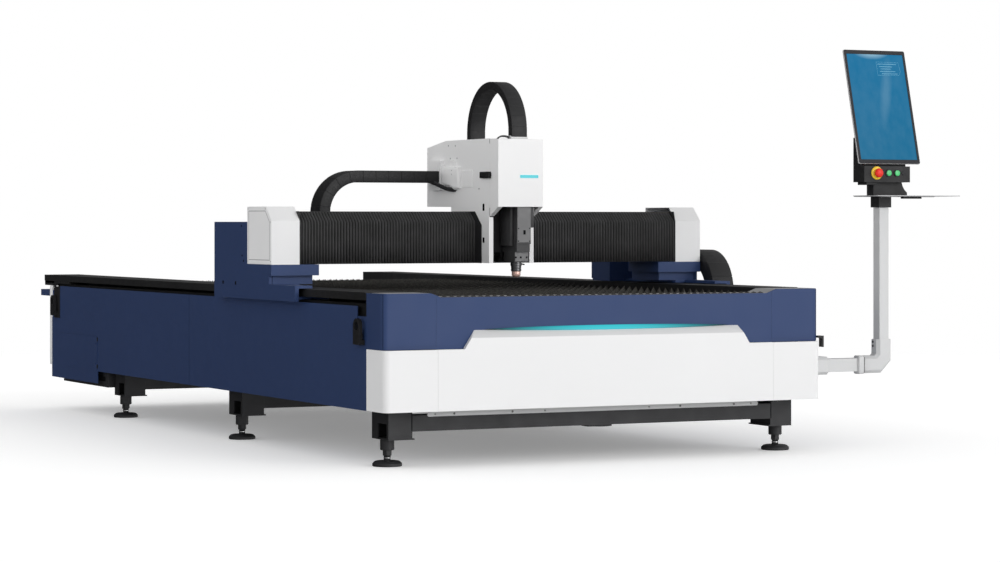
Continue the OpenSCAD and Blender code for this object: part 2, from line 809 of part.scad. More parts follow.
// Pleated cover carried along the gantry, crest and valley in turn
module bellows(x0, x1) {
  n = 2 * floor((x1 - x0) / pleat);
  dx = (x1 - x0) / n;
  inner = fold(pleat_d + 2);
  pts = [for (i = [0 : n]) let (o = i % 2 == 0 ? pleat_d : 0)
    for (q = concat(fold(o), [inner[3], inner[2], inner[1], inner[0]])) [x0 + i * dx, q[0], q[1]]];
  faces = concat(
    [[for (k = [0 : 7]) k]],
    [for (i = [0 : n - 1], k = [0 : 7]) let (m = (k + 1) % 8)
      [8 * i + k, 8 * i + 8 + k, 8 * i + 8 + m, 8 * i + m]],
    [[for (k = [7 : -1 : 0]) 8 * n + k]]
  );
  polyhedron(points = pts, faces = faces);
}

module bellows_left() {
  color(black) home() bellows(-cap_x0 + gap, bx0 - gap);
}

module bellows_right() {
  color(black) home() bellows(bx1 + gap, cap_x0 - gap);
}

module pinion_shape() {
  upright(0, 0, pin_z0, rack_z1, 2 * pin_r);
  upright(0, 0, rack_z1 - 1, saddle_z1 + 34, shaft_d);
}

module y_pinion_left() {
  color(steel) home() translate([-pin_x, motor_y, 0]) pinion_shape();
}

module y_pinion_right() {
  color(steel) home() translate([pin_x, motor_y, 0]) pinion_shape();
}

// Upright plate behind the head with the bridge over the gantry tube
module carriage_plate() {
  color(dark) home() difference() {
    union() {
      slab([bx0 + car_t, plate_y0, gz0 + 4], [bx1 - car_t, plate_y1, cov_z1 - 32]);
      slab([bx0 + car_t, plate_y0, bridge_z0], [bx1 - car_t, gantry_y + 400, bridge_z1]);
      slab([car_mid - 26, plate_y0 - 58, gz0 + 462], [car_mid + 26, plate_y0 + 1, gz0 + 470]);
      slab([car_mid - 18, plate_y0 - 40, gz0 + 8], [car_mid + 18, plate_y0 + 1, gz0 + 30]);
    }
    upright(car_mid, xpin_y, bridge_z0 - 1, bridge_z1 + 1, shaft_d + 2 * turn_gap);
    upright(car_mid, screw_y, gz0 + 14, gz0 + 480, screw_d + 2 * turn_gap);
  }
}

module wall2d() {
  polygon([
    [lip_y, gz0 + 2], [plate_y1 + 4, gz0 + 2], [plate_y1 + 4, gz0 + 219], [gantry_y + 275, gz0 + 219],
    [gantry_y + 275, cov_z0], [cov_rear, cov_z0], [cov_rear, cov_z1 - 30], [gantry_y + 332, cov_z1],
    [lip_y - 9, cov_z1], [lip_y - 9, gz0 + 265], [lip_y, gz0 + 257]
  ]);
}

// Folded carriage cover, open to the front where the moving cover hangs
module carriage_cover() {
  color(white) home() {
    along_x(bx0, bx0 + car_t) wall2d();
    along_x(bx1 - car_t, bx1) wall2d();
    along_x(bx0 + car_t - 1, bx1 - car_t + 1) {
      polygon([
        [cov_rear - car_t, cov_z0], [cov_rear, cov_z0], [cov_rear, cov_z1 - 30], [gantry_y + 332, cov_z1],
        [lip_y - 9, cov_z1], [lip_y - 9, cov_z1 - car_t], [gantry_y + 332, cov_z1 - car_t],
        [cov_rear - car_t, cov_z1 - 30 - car_t]
      ]);
      translate([gantry_y + 404, cov_z0]) square([cov_rear - gantry_y - 405, car_t]);
    }
    slab([bx0, lip_y, gz0 + 2], [bx0 + 22, lip_y + car_t, gz0 + 217]);
    slab([bx1 - 22, lip_y, gz0 + 2], [bx1, lip_y + car_t, gz0 + 217]);
    slab(
      [bx0 - 22, xc_y0 - 5, xc_z + chain_r - chain_t - 36],
      [bx0, xc_y0 + chain_w + 5, xc_z + chain_r + 50]
    );
  }
}

module x_guide_blocks() {
  color(steel) home() for (z = xr_z, x = [bx0 + 50, bx1 - 50]) difference() {
    slab([x - 40, plate_y1, z - 24], [x + 40, tube_y0 - 6, z + 24]);
    slab([x - 41, xr_y0 - gap, z - xr_w / 2 - gap], [x + 41, tube_y0, z + xr_w / 2 + gap]);
  }
}

// Servo motor of the crossways drive on the bridge and of the height drive on its bracket
module axis_motors() {
  color(black) home() {
    difference() {
      union() {
        slab([car_mid - 40, xpin_y - 40, bridge_z1], [car_mid + 40, xpin_y + 40, bridge_z1 + 80]);
        slab([car_mid - 38, xpin_y - 38, bridge_z1 + 79], [car_mid + 38, xpin_y + 38, bridge_z1 + 270]);
      }
      upright(car_mid, xpin_y, bridge_z1 - 1, bridge_z1 + 36, shaft_d + 2 * turn_gap);
    }
    difference() {
      slab([car_mid - 26, plate_y0 - 56, gz0 + 470], [car_mid + 26, plate_y0 - 1, gz0 + 570]);
      upright(car_mid, screw_y, gz0 + 469, gz0 + 500, screw_d + 2 * turn_gap);
    }
  }
}

module z_rails() {
  color(steel) home() for (x = [car_mid - 46, car_mid + 46]) {
    slab([x - 10, plate_y0 - 22, gz0 + 32], [x + 10, plate_y0, gz0 + 452]);
  }
}

module z_chain() {
  color(black) home() along_x(arch_x0, arch_x0 + arch_w) translate([arch_y, arch_z]) rotate(-90)
    chain2d(arch_z - cov_z1 - gap, arch_z - zc_z1 - 10 - gap, arch_r, arch_t, 46);
}

module x_pinion() {
  color(steel) home() translate([car_mid, xpin_y, 0]) {
    upright(0, 0, xrack_z0, xrack_z1, 2 * xpin_r);
    upright(0, 0, xrack_z1 - 1, bridge_z1 + 34, shaft_d);
  }
}

module z_screw() {
  color(steel) home() upright(car_mid, screw_y, gz0 + 15, gz0 + 498, screw_d);
}

module zcover_side() {
  polygon([
    [zc_y0, zc_z0], [zc_y1, zc_z0 - 43], [zc_y1, zc_z1], [zc_y0, zc_z1]
  ]);
}

// White cover that rides up and down with the head
module z_cover() {
  color(white) home() {
    along_x(bx0, bx0 + car_t) zcover_side();
    along_x(bx1 - car_t, bx1) zcover_side();
    slab([bx0 + car_t - 1, zc_y0, zc_z0], [bx1 - car_t + 1, zc_y0 + car_t, zc_z1]);
    slab([bx0 + car_t - 1, zc_y0, zc_z1 - car_t], [bx1 - car_t + 1, zc_y1, zc_z1]);
    for (x = [bx0, bx1 - 22]) along_x(x, x + 22) polygon([
      [zc_y0, zc_z0], [zc_y1, zc_z0 - 43], [zc_y1, zc_z0 - 40], [zc_y0, zc_z0 + 3]
    ]);
    slab([arch_x0, arch_y - arch_r, zc_z1 - 1], [arch_x0 + arch_w, arch_y - arch_r + arch_t, zc_z1 + 10]);
  }
}

module z_led() {
  color([0.1, 0.7, 0.68]) home()
    slab([car_mid - 3, zc_y0 - 2, zc_z0 + 134], [car_mid + 91, zc_y0, zc_z0 + 148]);
}

module laser_head() {
  hx0 = head_x - head_w / 2;
  hx1 = head_x + head_w / 2;
  color(dark) home() {
    slab([hx0, head_y - 80, gz0 + 92], [hx1, slide_y0, gz0 + 332]);
    slab([hx0 + 2, head_y - 75, gz0 + 55], [hx1 - 2, slide_y0 - 1, gz0 + 92]);
    slab([hx0, head_y - 56, gz0 + 8], [hx1, head_y + 56, gz0 + 55]);
  }
}

module nozzle_holder() {
  color(steel) home() difference() {
    upright(head_x, head_y, tip_z + 26, gz0 + 8, 50);
    upright(head_x, head_y, tip_z + 25, gz0 + 9, 20);
  }
}

module nozzle() {
  color([0.72, 0.45, 0.2]) home() translate([head_x, head_y, tip_z]) difference() {
    union() {
      cylinder(h = 16, d1 = nozzle_d / 2 - 3, d2 = nozzle_d);
      translate([0, 0, 15.9]) cylinder(h = 10.1, d = nozzle_d);
    }
    translate([0, 0, -1]) cylinder(h = 28, d = nozzle_bore);
  }
}

// Height slide: plate on four guide blocks, screw nut and the shelf that carries the moving cover
module z_slide() {
  color(steel) home() {
    slab([car_mid - 86, slide_y0, gz0 + 52], [car_mid + 86, slide_y1, shelf_z0 + 10]);
    slab([bx0 + car_t + gap, zc_y0 + car_t, shelf_z0], [bx1 - car_t - gap, slide_y0 + 1, shelf_z0 + 10]);
    difference() {
      slab([car_mid - 18, slide_y1 - 1, gz0 + 150], [car_mid + 18, screw_y + 14, gz0 + 210]);
      upright(car_mid, screw_y, gz0 + 149, gz0 + 211, screw_d + 2 * turn_gap);
    }
    for (x = [car_mid - 46, car_mid + 46], z = [gz0 + 110, gz0 + 320]) difference() {
      slab([x - 24, slide_y1 - 1, z - 40], [x + 24, plate_y0 - 6, z + 40]);
      slab([x - 10 - gap, plate_y0 - 22 - gap, z - 41], [x + 10 + gap, plate_y0, z + 41]);
    }
  }
}

// Turning collar with its spigot and the flared neck under the box
module pendant_neck() {
  color(black) home() {
    slab([post_x - 34, post_y - 34, post_z1 + gap], [post_x + 34, post_y + 34, collar_z1 + 1]);
    upright(post_x, post_y, post_z1 - 60, post_z1 + 1, spigot_d);
    along_y(post_y - 35, post_y + 20) difference() {
      translate([post_x - 65, neck_z0]) square([186, neck_z1 - neck_z0]);
      translate([post_x + 121 + 44, neck_z1 + 14]) circle(r = 75, $fn = 96);
    }
  }
}

function box_profile(o) = let (s = tan(mon_tilt), yb = cb_y0 + mon_t * cos(mon_tilt) - 3 * s) [
  [cb_y0 + o, neck_z1 + o], [cb_y0 + o, lip_z1 - o], [yb + o + gap, lip_z1 - o],
  [yb + gap + o + (cb_z1 - lip_z1) * s, cb_z1 - o], [cb_y1 - o, cb_z1 - o], [cb_y1 - o, neck_z1 + o]
];

module control_box() {
  color(black) home() difference() {
    union() {
      along_x(box_x0, box_x1) polygon(box_profile(0));
      for (x = [post_x - 6, post_x + 40]) facing(x, key_z, cb_y0 - 4, cb_y0 + 1, 34);
      facing(post_x + 76, key_z, cb_y0 - 3, cb_y0 + 1, 18);
    }
    along_x(box_x0 + 3, box_x1 - 3) polygon(box_profile(3));
    for (x = [post_x - 6, post_x + 40]) facing(x, key_z, cb_y0 - 5, cb_y0 + 5, 27);
    facing(stop_x, key_z, cb_y0 - 5, cb_y0 + 5, 21);
  }
}

module tilted() {
  translate([mon_x0, cb_y0, mon_z0]) rotate([-mon_tilt, 0, 0]) children();
}

module monitor_frame() {
  color([0.2, 0.2, 0.22]) home() tilted() difference() {
    along_y(0, mon_t) soft2d(0, 0, mon_w, mon_l, 8);
    slab([14, -1, 20], [mon_w - 14, 4, mon_l - 20]);
  }
}

module screen() {
  color([0.12, 0.43, 0.6]) home() tilted() slab([14.5, 2, 20.5], [mon_w - 14.5, 4, mon_l - 20.5]);
}

module keyboard_shelf() {
  color(steel) home() {
    translate([0, 0, shelf_z]) linear_extrude(height = 6)
      soft2d(post_x - 131, y_min, x_max, post_y + 40, 10);
    slab([post_x + 123, y_min + 20, shelf_z - 8], [post_x + 235, post_y + 20, shelf_z]);
  }
}

module estop_ring() {
  color([0.9, 0.75, 0.1]) home() difference() {
    facing(stop_x, key_z, cb_y0 - 6, cb_y0, 56);
    facing(stop_x, key_z, cb_y0 - 7, cb_y0 + 1, 21);
  }
}

module estop_button() {
  color([0.75, 0.1, 0.08]) home() {
    facing(stop_x, key_z, cb_y0 - 30, cb_y0 - 13, 42);
    facing(stop_x, key_z, cb_y0 - 14, cb_y0 + 14, 20);
  }
}

module push_cap(x) {
  facing(x, key_z, cb_y0 - 9, cb_y0 + 12, 26);
}

module button_left() {
  color([0.1, 0.6, 0.25]) home() push_cap(post_x - 6);
}

module button_right() {
  color([0.1, 0.6, 0.25]) home() push_cap(post_x + 40);
}

side_beams();
cross_beams();
foot_brackets();
levelling_feet();
side_panels();
access_cover();
rear_panel();
front_panel_upper();
front_panel_lower();
front_corners_upper();
front_corners_lower();
deck_plates();
front_led();
front_skirt();
rail_covers();
y_rails();
slat_combs();
slats();
slag_trays();
lifting_eyes();
y_chain_tray();
y_chain();
arm_castings();
arm_tubes();
gantry_beam();
end_caps();
gantry_brackets();
y_motors();
y_guide_blocks();
x_rails();
x_chain_tray();
x_chain();
bellows_left();
bellows_right();
y_pinion_left();
y_pinion_right();
carriage_plate();
carriage_cover();
x_guide_blocks();
axis_motors();
z_rails();
z_chain();
x_pinion();
z_screw();
z_cover();
z_led();
laser_head();
nozzle_holder();
nozzle();
z_slide();
pendant_neck();
control_box();
monitor_frame();
screen();
keyboard_shelf();
estop_ring();
estop_button();
button_left();
button_right();
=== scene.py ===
"""Looks of a flatbed fiber laser cutting machine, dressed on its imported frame.

Lengths in the piece builders are millimetres: x from the middle of the bed, y from the front feet and
z from the floor.
"""
import json
import math

import bpy
import numpy as np
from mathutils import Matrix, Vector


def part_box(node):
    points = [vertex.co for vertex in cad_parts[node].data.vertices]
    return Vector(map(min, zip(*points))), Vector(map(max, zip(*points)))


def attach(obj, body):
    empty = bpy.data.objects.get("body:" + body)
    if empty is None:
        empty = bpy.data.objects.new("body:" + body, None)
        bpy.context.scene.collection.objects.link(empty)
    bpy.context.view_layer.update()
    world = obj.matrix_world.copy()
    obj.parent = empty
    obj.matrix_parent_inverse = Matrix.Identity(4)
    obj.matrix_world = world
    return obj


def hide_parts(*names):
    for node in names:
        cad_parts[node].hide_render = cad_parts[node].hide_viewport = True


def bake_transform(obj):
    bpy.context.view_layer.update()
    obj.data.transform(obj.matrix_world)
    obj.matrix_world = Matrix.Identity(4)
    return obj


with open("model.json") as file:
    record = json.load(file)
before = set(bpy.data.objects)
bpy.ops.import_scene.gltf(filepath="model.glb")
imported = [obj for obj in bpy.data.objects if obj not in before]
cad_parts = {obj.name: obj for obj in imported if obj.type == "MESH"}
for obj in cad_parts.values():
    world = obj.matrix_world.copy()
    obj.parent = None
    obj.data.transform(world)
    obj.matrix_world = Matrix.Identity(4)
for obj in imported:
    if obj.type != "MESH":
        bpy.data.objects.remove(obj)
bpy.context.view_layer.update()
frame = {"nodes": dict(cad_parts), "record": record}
NODE = frame["nodes"]
BED_TO_ROW = np.array([336.5, 2115.0, 0.0])


def span_of(node):
    """Lowest and highest corner of a node at rest, in bed millimetres."""
    return [np.array(corner) * 1000 + BED_TO_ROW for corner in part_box(node)]


# Surfaces


def grid_quads(n, k):
    """Quads between n closed rings of k points, ring after ring."""
    i, j = np.arange(n - 1)[:, None] * k, np.arange(k)[None]
    a, b = i + j, i + (j + 1) % k
    return np.stack([a, b, b + k, a + k], -1).reshape(-1, 4)


def sheet_quads(n, k):
    """Quads of an open grid: n lines of k points, line after line."""
    i, j = np.arange(n - 1)[:, None] * k, np.arange(k - 1)[None]
    return np.stack([i + j, i + j + k, i + j + k + 1, i + j + 1], -1).reshape(-1, 4)


def outward(shape):
    """Turns a closed shape right side out: faces are reversed where the enclosed volume is negative."""
    v, faces = shape
    volume = 0.0
    for f in faces:
        a = v[f[:, 0]]
        for k in range(1, f.shape[1] - 1):
            volume += np.einsum("ij,ij->", a, np.cross(v[f[:, k]], v[f[:, k + 1]]))
    return (v, [f[:, ::-1] for f in faces]) if volume < 0 else shape


def carried(rings):
    """A closed profile carried along a path: rings (n, k, 3) joined side by side, both ends closed."""
    n, k = rings.shape[:2]
    ends = [np.arange(k)[::-1][None], (np.arange(k) + (n - 1) * k)[None]]
    return outward((rings.reshape(-1, 3), [grid_quads(n, k)] + ends))


def hoop(rings):
    """A closed profile carried round a closed path: the last ring of (n, k, 3) meets the first."""
    n, k = rings.shape[:2]
    return outward((rings.reshape(-1, 3), [grid_quads(n + 1, k) % (n * k)]))


def merged(*shapes):
    """Several shapes as one list of points and faces."""
    v, f, at = [], [], 0
    for p, q in shapes:
        v.append(p)
        f += [a + at for a in q]
        at += len(p)
    return np.concatenate(v), f


def repeated(shape, places):
    """The shape once at each place (m, 3): its points are added to every place in turn."""
    v, faces = shape
    places = np.asarray(places, float).reshape(-1, 3)
    step = np.arange(len(places))[:, None, None] * len(v)
    points = (places[:, None] + v[None]).reshape(-1, 3)
    return points, [(f[None] + step).reshape(-1, f.shape[1]) for f in faces]


def moved(shape, by):
    """The shape with one step added to all its points."""
    return shape[0] + np.array(by, float), shape[1]


def mirrored(shape):
    """The shape on the other side of the bed: x changes sign and the faces are turned round."""
    return shape[0] * np.array([-1.0, 1, 1]), [f[:, ::-1] for f in shape[1]]


def both_sides(shape):
    """The shape and its mirror image across the bed."""
    return merged(shape, mirrored(shape))


# A shape made along +z keeps its outline as (x, y) facing +z, (y, z) facing +x and (x, z) facing -y.
TURN = {"+z": ([0, 1, 2], [1, 1, 1]), "+x": ([2, 0, 1], [1, 1, 1]), "-y": ([0, 2, 1], [1, -1, 1])}


def facing(shape, way):
    """A shape made along +z, turned so that its z points the given way."""
    order, sign = TURN[way]
    return shape[0][:, order] * np.array(sign, float), shape[1]


def turned(profile, n=24):
    """Lathe work: radius and height pairs from the lower face up, each a circle of n points about z."""
    r, h = np.array(profile, float).T
    a = np.arange(n) * 2 * np.pi / n
    ring = [r[:, None] * np.cos(a), r[:, None] * np.sin(a), h[:, None] + 0 * a]
    return carried(np.stack(ring, -1))


def turned_ring(profile, n=32):
    """Lathe work with an open middle: a closed loop of radius and height pairs carried round z."""
    r, h = np.array(profile, float).T
    a = np.arange(n)[:, None] * 2 * np.pi / n
    return hoop(np.stack([r * np.cos(a), r * np.sin(a), h + 0 * a], -1))


def soft_rect(lo, hi, r, seg=3):
    """Rectangle from lo to hi, counter-clockwise, each corner an arc of radius r."""
    lo, hi = np.array(lo, float), np.array(hi, float)
    a = (np.arange(4)[:, None] * np.pi / 2 + np.linspace(0, np.pi / 2, seg + 1)).ravel()
    sign = np.repeat([(1, 1), (-1, 1), (-1, -1), (1, -1)], seg + 1, axis=0)
    return (lo + hi) / 2 + sign * ((hi - lo) / 2 - r) + r * np.stack([np.cos(a), np.sin(a)], -1)


def cut_rect(half_a, half_b, cut):
    """Rectangle about the origin, counter-clockwise, its corners cut off at 45 degrees."""
    a, b, c, d = half_a, half_b, half_a - cut, half_b - cut
    return np.array([(a, -d), (a, d), (c, b), (-c, b), (-a, d), (-a, -d), (-c, -b), (c, -b)], float)


def inset(outline, d):
    """Counter-clockwise outline drawn in by each d: a corner moves by d (m + n) / (1 + m.n).

    m and n are the normals of the two edges that meet there."""
    edge = np.roll(outline, -1, 0) - outline
    edge /= np.linalg.norm(edge, axis=1)[:, None]
    n = np.stack([-edge[:, 1], edge[:, 0]], -1)
    m = np.roll(n, 1, 0)
    step = (m + n) / (1 + (m * n).sum(1))[:, None]
    return outline[None] + np.asarray(d, float)[:, None, None] * step[None]


def stepped(outline, steps):
    """Plate over an outline: drawn in by the first number of each step at the height of the second."""
    d, h = np.array(steps, float).T
    flat = inset(np.asarray(outline, float), d)
    height = np.broadcast_to(h[:, None, None], flat.shape[:2] + (1,))
    return carried(np.concatenate([flat, height], -1))


def flat_loop(outline, loops):
    """Closed band on an outline: drawn in by the first number of each loop at the height of the second."""
    return hoop(np.stack([np.insert(inset(outline, [d])[0], 2, h, axis=1) for d, h in loops]))


def eased_block(lo, hi, edge=2.0, corner=0.0):
    """Block with eased edges: a round-cornered rectangle carried up, both ends drawn in on a quarter arc."""
    corner = max(corner, edge * 1.15)
    ease = [(edge * (1 - math.sin(t)), edge * (1 - math.cos(t))) for t in (0, math.pi / 4, math.pi / 2)]
    steps = [(d, lo[2] + h) for d, h in ease] + [(d, hi[2] - h) for d, h in ease[::-1]]
    return stepped(soft_rect(lo[:2], hi[:2], corner), steps)


def swept(profile, places, first, second):
    """Profile (k, 2) carried through places (n, 3): its numbers run along first and second (n, 3)."""
    a, b = profile[None, :, :1], profile[None, :, 1:]
    return carried(places[:, None] + a * first[:, None] + b * second[:, None])


def bent_line(points, n):
    """Smooth line led by control points: weights C(m, i) t^i (1 - t)^(m - i) summed over the points."""
    p = np.array(points, float)
    m = len(p) - 1
    t = np.linspace(0, 1, n)[:, None]
    i = np.arange(m + 1)
    weight = np.array([math.comb(m, int(k)) for k in i]) * t**i * (1 - t) ** (m - i)
    return weight @ p


def round_line(path, radius, n=10, side=(0, 1, 0)):
    """Round profile carried along a path (m, 3): a circle in the plane across the path at every point."""
    d = np.gradient(path, axis=0)
    d /= np.linalg.norm(d, axis=1)[:, None]
    u = np.cross(d, np.array(side, float))
    u /= np.linalg.norm(u, axis=1)[:, None]
    w = np.cross(d, u)
    a = np.arange(n)[:, None] * 2 * np.pi / n
    circle = np.cos(a) * u[:, None] + np.sin(a) * w[:, None]
    return carried(path[:, None] + radius * circle)


SCREW = turned([(1.0, -0.4), (1.0, 0.55), (0.85, 0.8), (0.5, 0.8), (0.45, 0.3)], 12)


def screws(places, way, r, h):
    """Socket-headed screws: one lathe shape, r wide and h tall, at every place."""
    v, f = SCREW
    return repeated(facing((v * np.array([r, r, h]), f), way), places)


def piece(name, shape, finish, body=None, stands_for=(), smooth=38):
    """Puts a shape into the scene: bed millimetres become row metres, and the piece rides its body."""
    v, faces = shape
    mesh = bpy.data.meshes.new(name)
    mesh.from_pydata(((v - BED_TO_ROW) / 1000).tolist(), [], [q for f in faces for q in f.tolist()])
    mesh.shade_smooth()
    mesh.set_sharp_from_angle(angle=math.radians(smooth))
    mesh.materials.append(finish)
    ob = bpy.data.objects.new(name, mesh)
    bpy.context.scene.collection.objects.link(ob)
    if body:
        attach(ob, body)
    if stands_for:
        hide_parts(*stands_for)
    return ob


# Finishes


class Nodes:
    """Short hand for a material's nodes: a call adds nodes and sets their sockets.

    add returns the node itself, the calls after set return an output."""

    def __init__(self, tree):
        self.tree = tree

    def add(self, kind, **sockets):
        node = self.tree.nodes.new("ShaderNode" + kind)
        for name, value in sockets.items():
            self.set(node.inputs[name.replace("_", " ")], value)
        return node

    def set(self, socket, value):
        if isinstance(value, bpy.types.NodeSocket):
            self.tree.links.new(value, socket)
        elif isinstance(value, tuple) and socket.type == "RGBA":
            socket.default_value = (*value, 1)
        else:
            socket.default_value = value

    def math(self, operation, a, b=0.0):
        node = self.add("Math")
        node.operation = operation
        self.set(node.inputs[0], a)
        self.set(node.inputs[1], b)
        return node.outputs[0]

    def vector(self, operation, a, b=(0, 0, 0)):
        node = self.add("VectorMath")
        node.operation = operation
        self.set(node.inputs[0], a)
        self.set(node.inputs[1], b)
        return node.outputs["Value"]

    def choose(self, share, a, b):
        node = self.add("MixShader")
        for socket, value in zip(node.inputs, (share, a, b)):
            self.set(socket, value)
        return node.outputs[0]

    def noise(self, place, scale, detail):
        return self.add("TexNoise", Vector=place, Scale=scale, Detail=detail).outputs["Fac"]

    def span(self, value, lo, hi, to_lo, to_hi):
        ends = {"From_Min": lo, "From_Max": hi, "To_Min": to_lo, "To_Max": to_hi}
        return self.add("MapRange", Value=value, **ends).outputs["Result"]

    def blend(self, share, a, b):
        node = self.add("Mix")
        node.data_type = "RGBA"
        for socket, value in zip((node.inputs[0], node.inputs[6], node.inputs[7]), (share, a, b)):
            self.set(socket, value)
        return node.outputs[2]

    def place(self, coordinate, **mapping):
        source = self.add("TexCoord").outputs[coordinate]
        return self.add("Mapping", Vector=source, **mapping).outputs["Vector"]


def skin(name, colour, rough, metal=0.0, shade=0.1, cloud=2.2, grain=650.0, bump=0.05, drag=(1, 1, 1),
         edge_wear_and_highlight=None, rough_span=0.07, spec=0.5, glow=None):
    """Surface with slow clouds of two shades, a fine bumped grain, wandering roughness and recoloured edges.

    drag stretches the noise into brushing or rolling lines. edge_wear_and_highlight is the colour laid in
    patches
    along the edges: partly rubbed wear, partly a painted highlight where it is paler than the surface. One
    less the product of the eased and the flat normal tells how near an edge is.
    """
    m = bpy.data.materials.new(name)
    m.use_nodes = True
    at = Nodes(m.node_tree)
    bsdf = m.node_tree.nodes["Principled BSDF"]
    place = at.place("Object", Scale=drag)
    low = tuple(c * (1 - shade) for c in colour)
    high = tuple(min(c * (1 + shade), 1) for c in colour)
    tone = at.blend(at.span(at.noise(place, cloud, 5.0), 0.3, 0.7, 0, 1), low, high)
    # Edge colour: rubbed wear, and on dark finishes also a painted highlight along the edges.
    if edge_wear_and_highlight:
        eased = at.add("Bevel", Radius=0.0022)
        eased.samples = 4
        flat = at.add("NewGeometry").outputs["True Normal"]
        edge = at.span(at.vector("DOT_PRODUCT", eased.outputs["Normal"], flat), 0.985, 0.8, 0, 1)
        patches = at.span(at.noise(place, 38.0, 4.0), 0.42, 0.62, 0.1, 0.75)
        tone = at.blend(at.math("MULTIPLY", edge, patches), tone, edge_wear_and_highlight)
    at.set(bsdf.inputs["Base Color"], tone)
    dull = (max(rough - rough_span, 0.02), min(rough + rough_span, 1))
    at.set(bsdf.inputs["Roughness"], at.span(at.noise(place, cloud * 7, 4.0), 0.25, 0.75, *dull))
    bsdf.inputs["Metallic"].default_value = metal
    bsdf.inputs["Specular IOR Level"].default_value = spec
    if bump:
        grained = at.add("Bump", Strength=bump, Distance=0.0006, Height=at.noise(place, grain, 2.0))
        at.set(bsdf.inputs["Normal"], grained.outputs["Normal"])
    if glow:
        bsdf.inputs["Emission Color"].default_value = (*glow[0], 1)
        bsdf.inputs["Emission Strength"].default_value = glow[1]
    return m


def fading_light(name, glow, strength, middle, reach):
    """Tinted lens lit from behind: its glow goes as (1 - w^2)^1.4, w the way along x over the reach."""
    m = skin(name, (0.004, 0.022, 0.026), 0.35, spec=0.2, shade=0.06, cloud=20, bump=0.02, grain=900)
    at = Nodes(m.node_tree)
    x = at.add("SeparateXYZ", Vector=at.add("TexCoord").outputs["Object"]).outputs["X"]
    way = at.math("DIVIDE", at.math("SUBTRACT", x, (middle - BED_TO_ROW[0]) / 1000), reach / 1000)
    left = at.math("SUBTRACT", 1.0, at.math("MULTIPLY", way, way))
    bsdf = m.node_tree.nodes["Principled BSDF"]
    bsdf.inputs["Emission Color"].default_value = (*glow, 1)
    at.set(bsdf.inputs["Emission Strength"], at.span(at.math("POWER", left, 1.4), 0.0, 1.0, 0.01, strength))
    return m


def screen_picture(name):
    """Idle blue picture on the screen's own map with a slanting pale sweep, and a soft glare under the upper
    edge that is a painted reflection.
    """
    m = bpy.data.materials.new(name)
    m.use_nodes = True
    at = Nodes(m.node_tree)
    bsdf = m.node_tree.nodes["Principled BSDF"]

    def bloom(middle, size, turn):
        """Soft oval patch: one less the way from its middle, measured in its own turned size."""
        uv = at.place("UV", Location=(-middle[0], -middle[1], 0))
        spun = at.add("Mapping", Vector=uv, Rotation=(0, 0, turn))
        sized = at.add("Mapping", Vector=spun.outputs["Vector"], Scale=(1 / size[0], 1 / size[1], 1))
        ball = at.add("TexGradient", Vector=sized.outputs["Vector"])
        ball.gradient_type = "SPHERICAL"
        return ball.outputs["Fac"]

    uv = at.place("UV")
    rise = at.add("SeparateXYZ", Vector=uv).outputs["Y"]
    sky = at.blend(at.span(rise, 0.0, 1.0, 0, 1), (0.008, 0.15, 0.295), (0.012, 0.175, 0.36))
    sweep = at.span(bloom((0.6, 0.62), (0.1, 0.36), 0.38), 0.0, 0.7, 0, 0.1)
    # Painted reflection: a soft glare patch under the upper edge, in both the glow and the base colour.
    glare = at.span(bloom((0.45, 1.0), (0.32, 0.085), 0.0), 0.0, 1.0, 0, 1.0)
    grain = at.span(at.noise(uv, 9.0, 3.0), 0.3, 0.7, 0, 0.03)
    pale = at.math("ADD", at.math("ADD", sweep, glare), grain)
    at.set(bsdf.inputs["Emission Color"], at.blend(pale, sky, (0.5, 0.75, 0.85)))
    bsdf.inputs["Emission Strength"].default_value = 0.95
    at.set(bsdf.inputs["Base Color"], at.blend(pale, (0.002, 0.008, 0.016), (0.01, 0.03, 0.05)))
    at.set(bsdf.inputs["Roughness"], at.span(at.noise(uv, 14.0, 3.0), 0.3, 0.7, 0.28, 0.36))
    bsdf.inputs["Specular IOR Level"].default_value = 0.05
    return m


BLUE_COAT = skin("blue_coat", (0.019, 0.044, 0.135), 0.55, shade=0.03, cloud=1.1, bump=0.04, spec=0.34,
                 rough_span=0.03, edge_wear_and_highlight=(0.05, 0.08, 0.17))
WHITE_COAT = skin("white_coat", (0.84, 0.841, 0.845), 0.45, shade=0.012, cloud=1.3, bump=0.04, spec=0.25,
                  rough_span=0.04, edge_wear_and_highlight=(0.72, 0.72, 0.73))
# A paler copy of the white paint, for the carriage and moving covers: painted light lifting their shaded
# walls.
LIT_WHITE_COAT = skin("lit_white_coat", (0.9, 0.9, 0.903), 0.45, shade=0.012, cloud=1.3, bump=0.04, spec=0.25,
                   rough_span=0.04, edge_wear_and_highlight=(0.78, 0.78, 0.79))
BLACK_COAT = skin("black_coat", (0.014, 0.014, 0.015), 0.55, shade=0.14, bump=0.08, spec=0.3,
                  edge_wear_and_highlight=(0.05, 0.05, 0.05))
DARK_ENAMEL = skin("dark_enamel", (0.022, 0.022, 0.024), 0.55, shade=0.15, bump=0.07, spec=0.3,
                   edge_wear_and_highlight=(0.08, 0.08, 0.08))
GREY_ENAMEL = skin("grey_enamel", (0.62, 0.625, 0.63), 0.42, shade=0.03, bump=0.05, spec=0.4,
                   edge_wear_and_highlight=(0.5, 0.5, 0.5))
GROUND_STEEL = skin("ground_steel", (0.56, 0.56, 0.57), 0.32, metal=1.0, shade=0.08, drag=(1, 0.05, 1),
                    grain=900, bump=0.08)
DULL_STEEL = skin("dull_steel", (0.42, 0.42, 0.43), 0.5, metal=0.4, shade=0.1, drag=(0.1, 1, 1),
                  grain=800, bump=0.06)
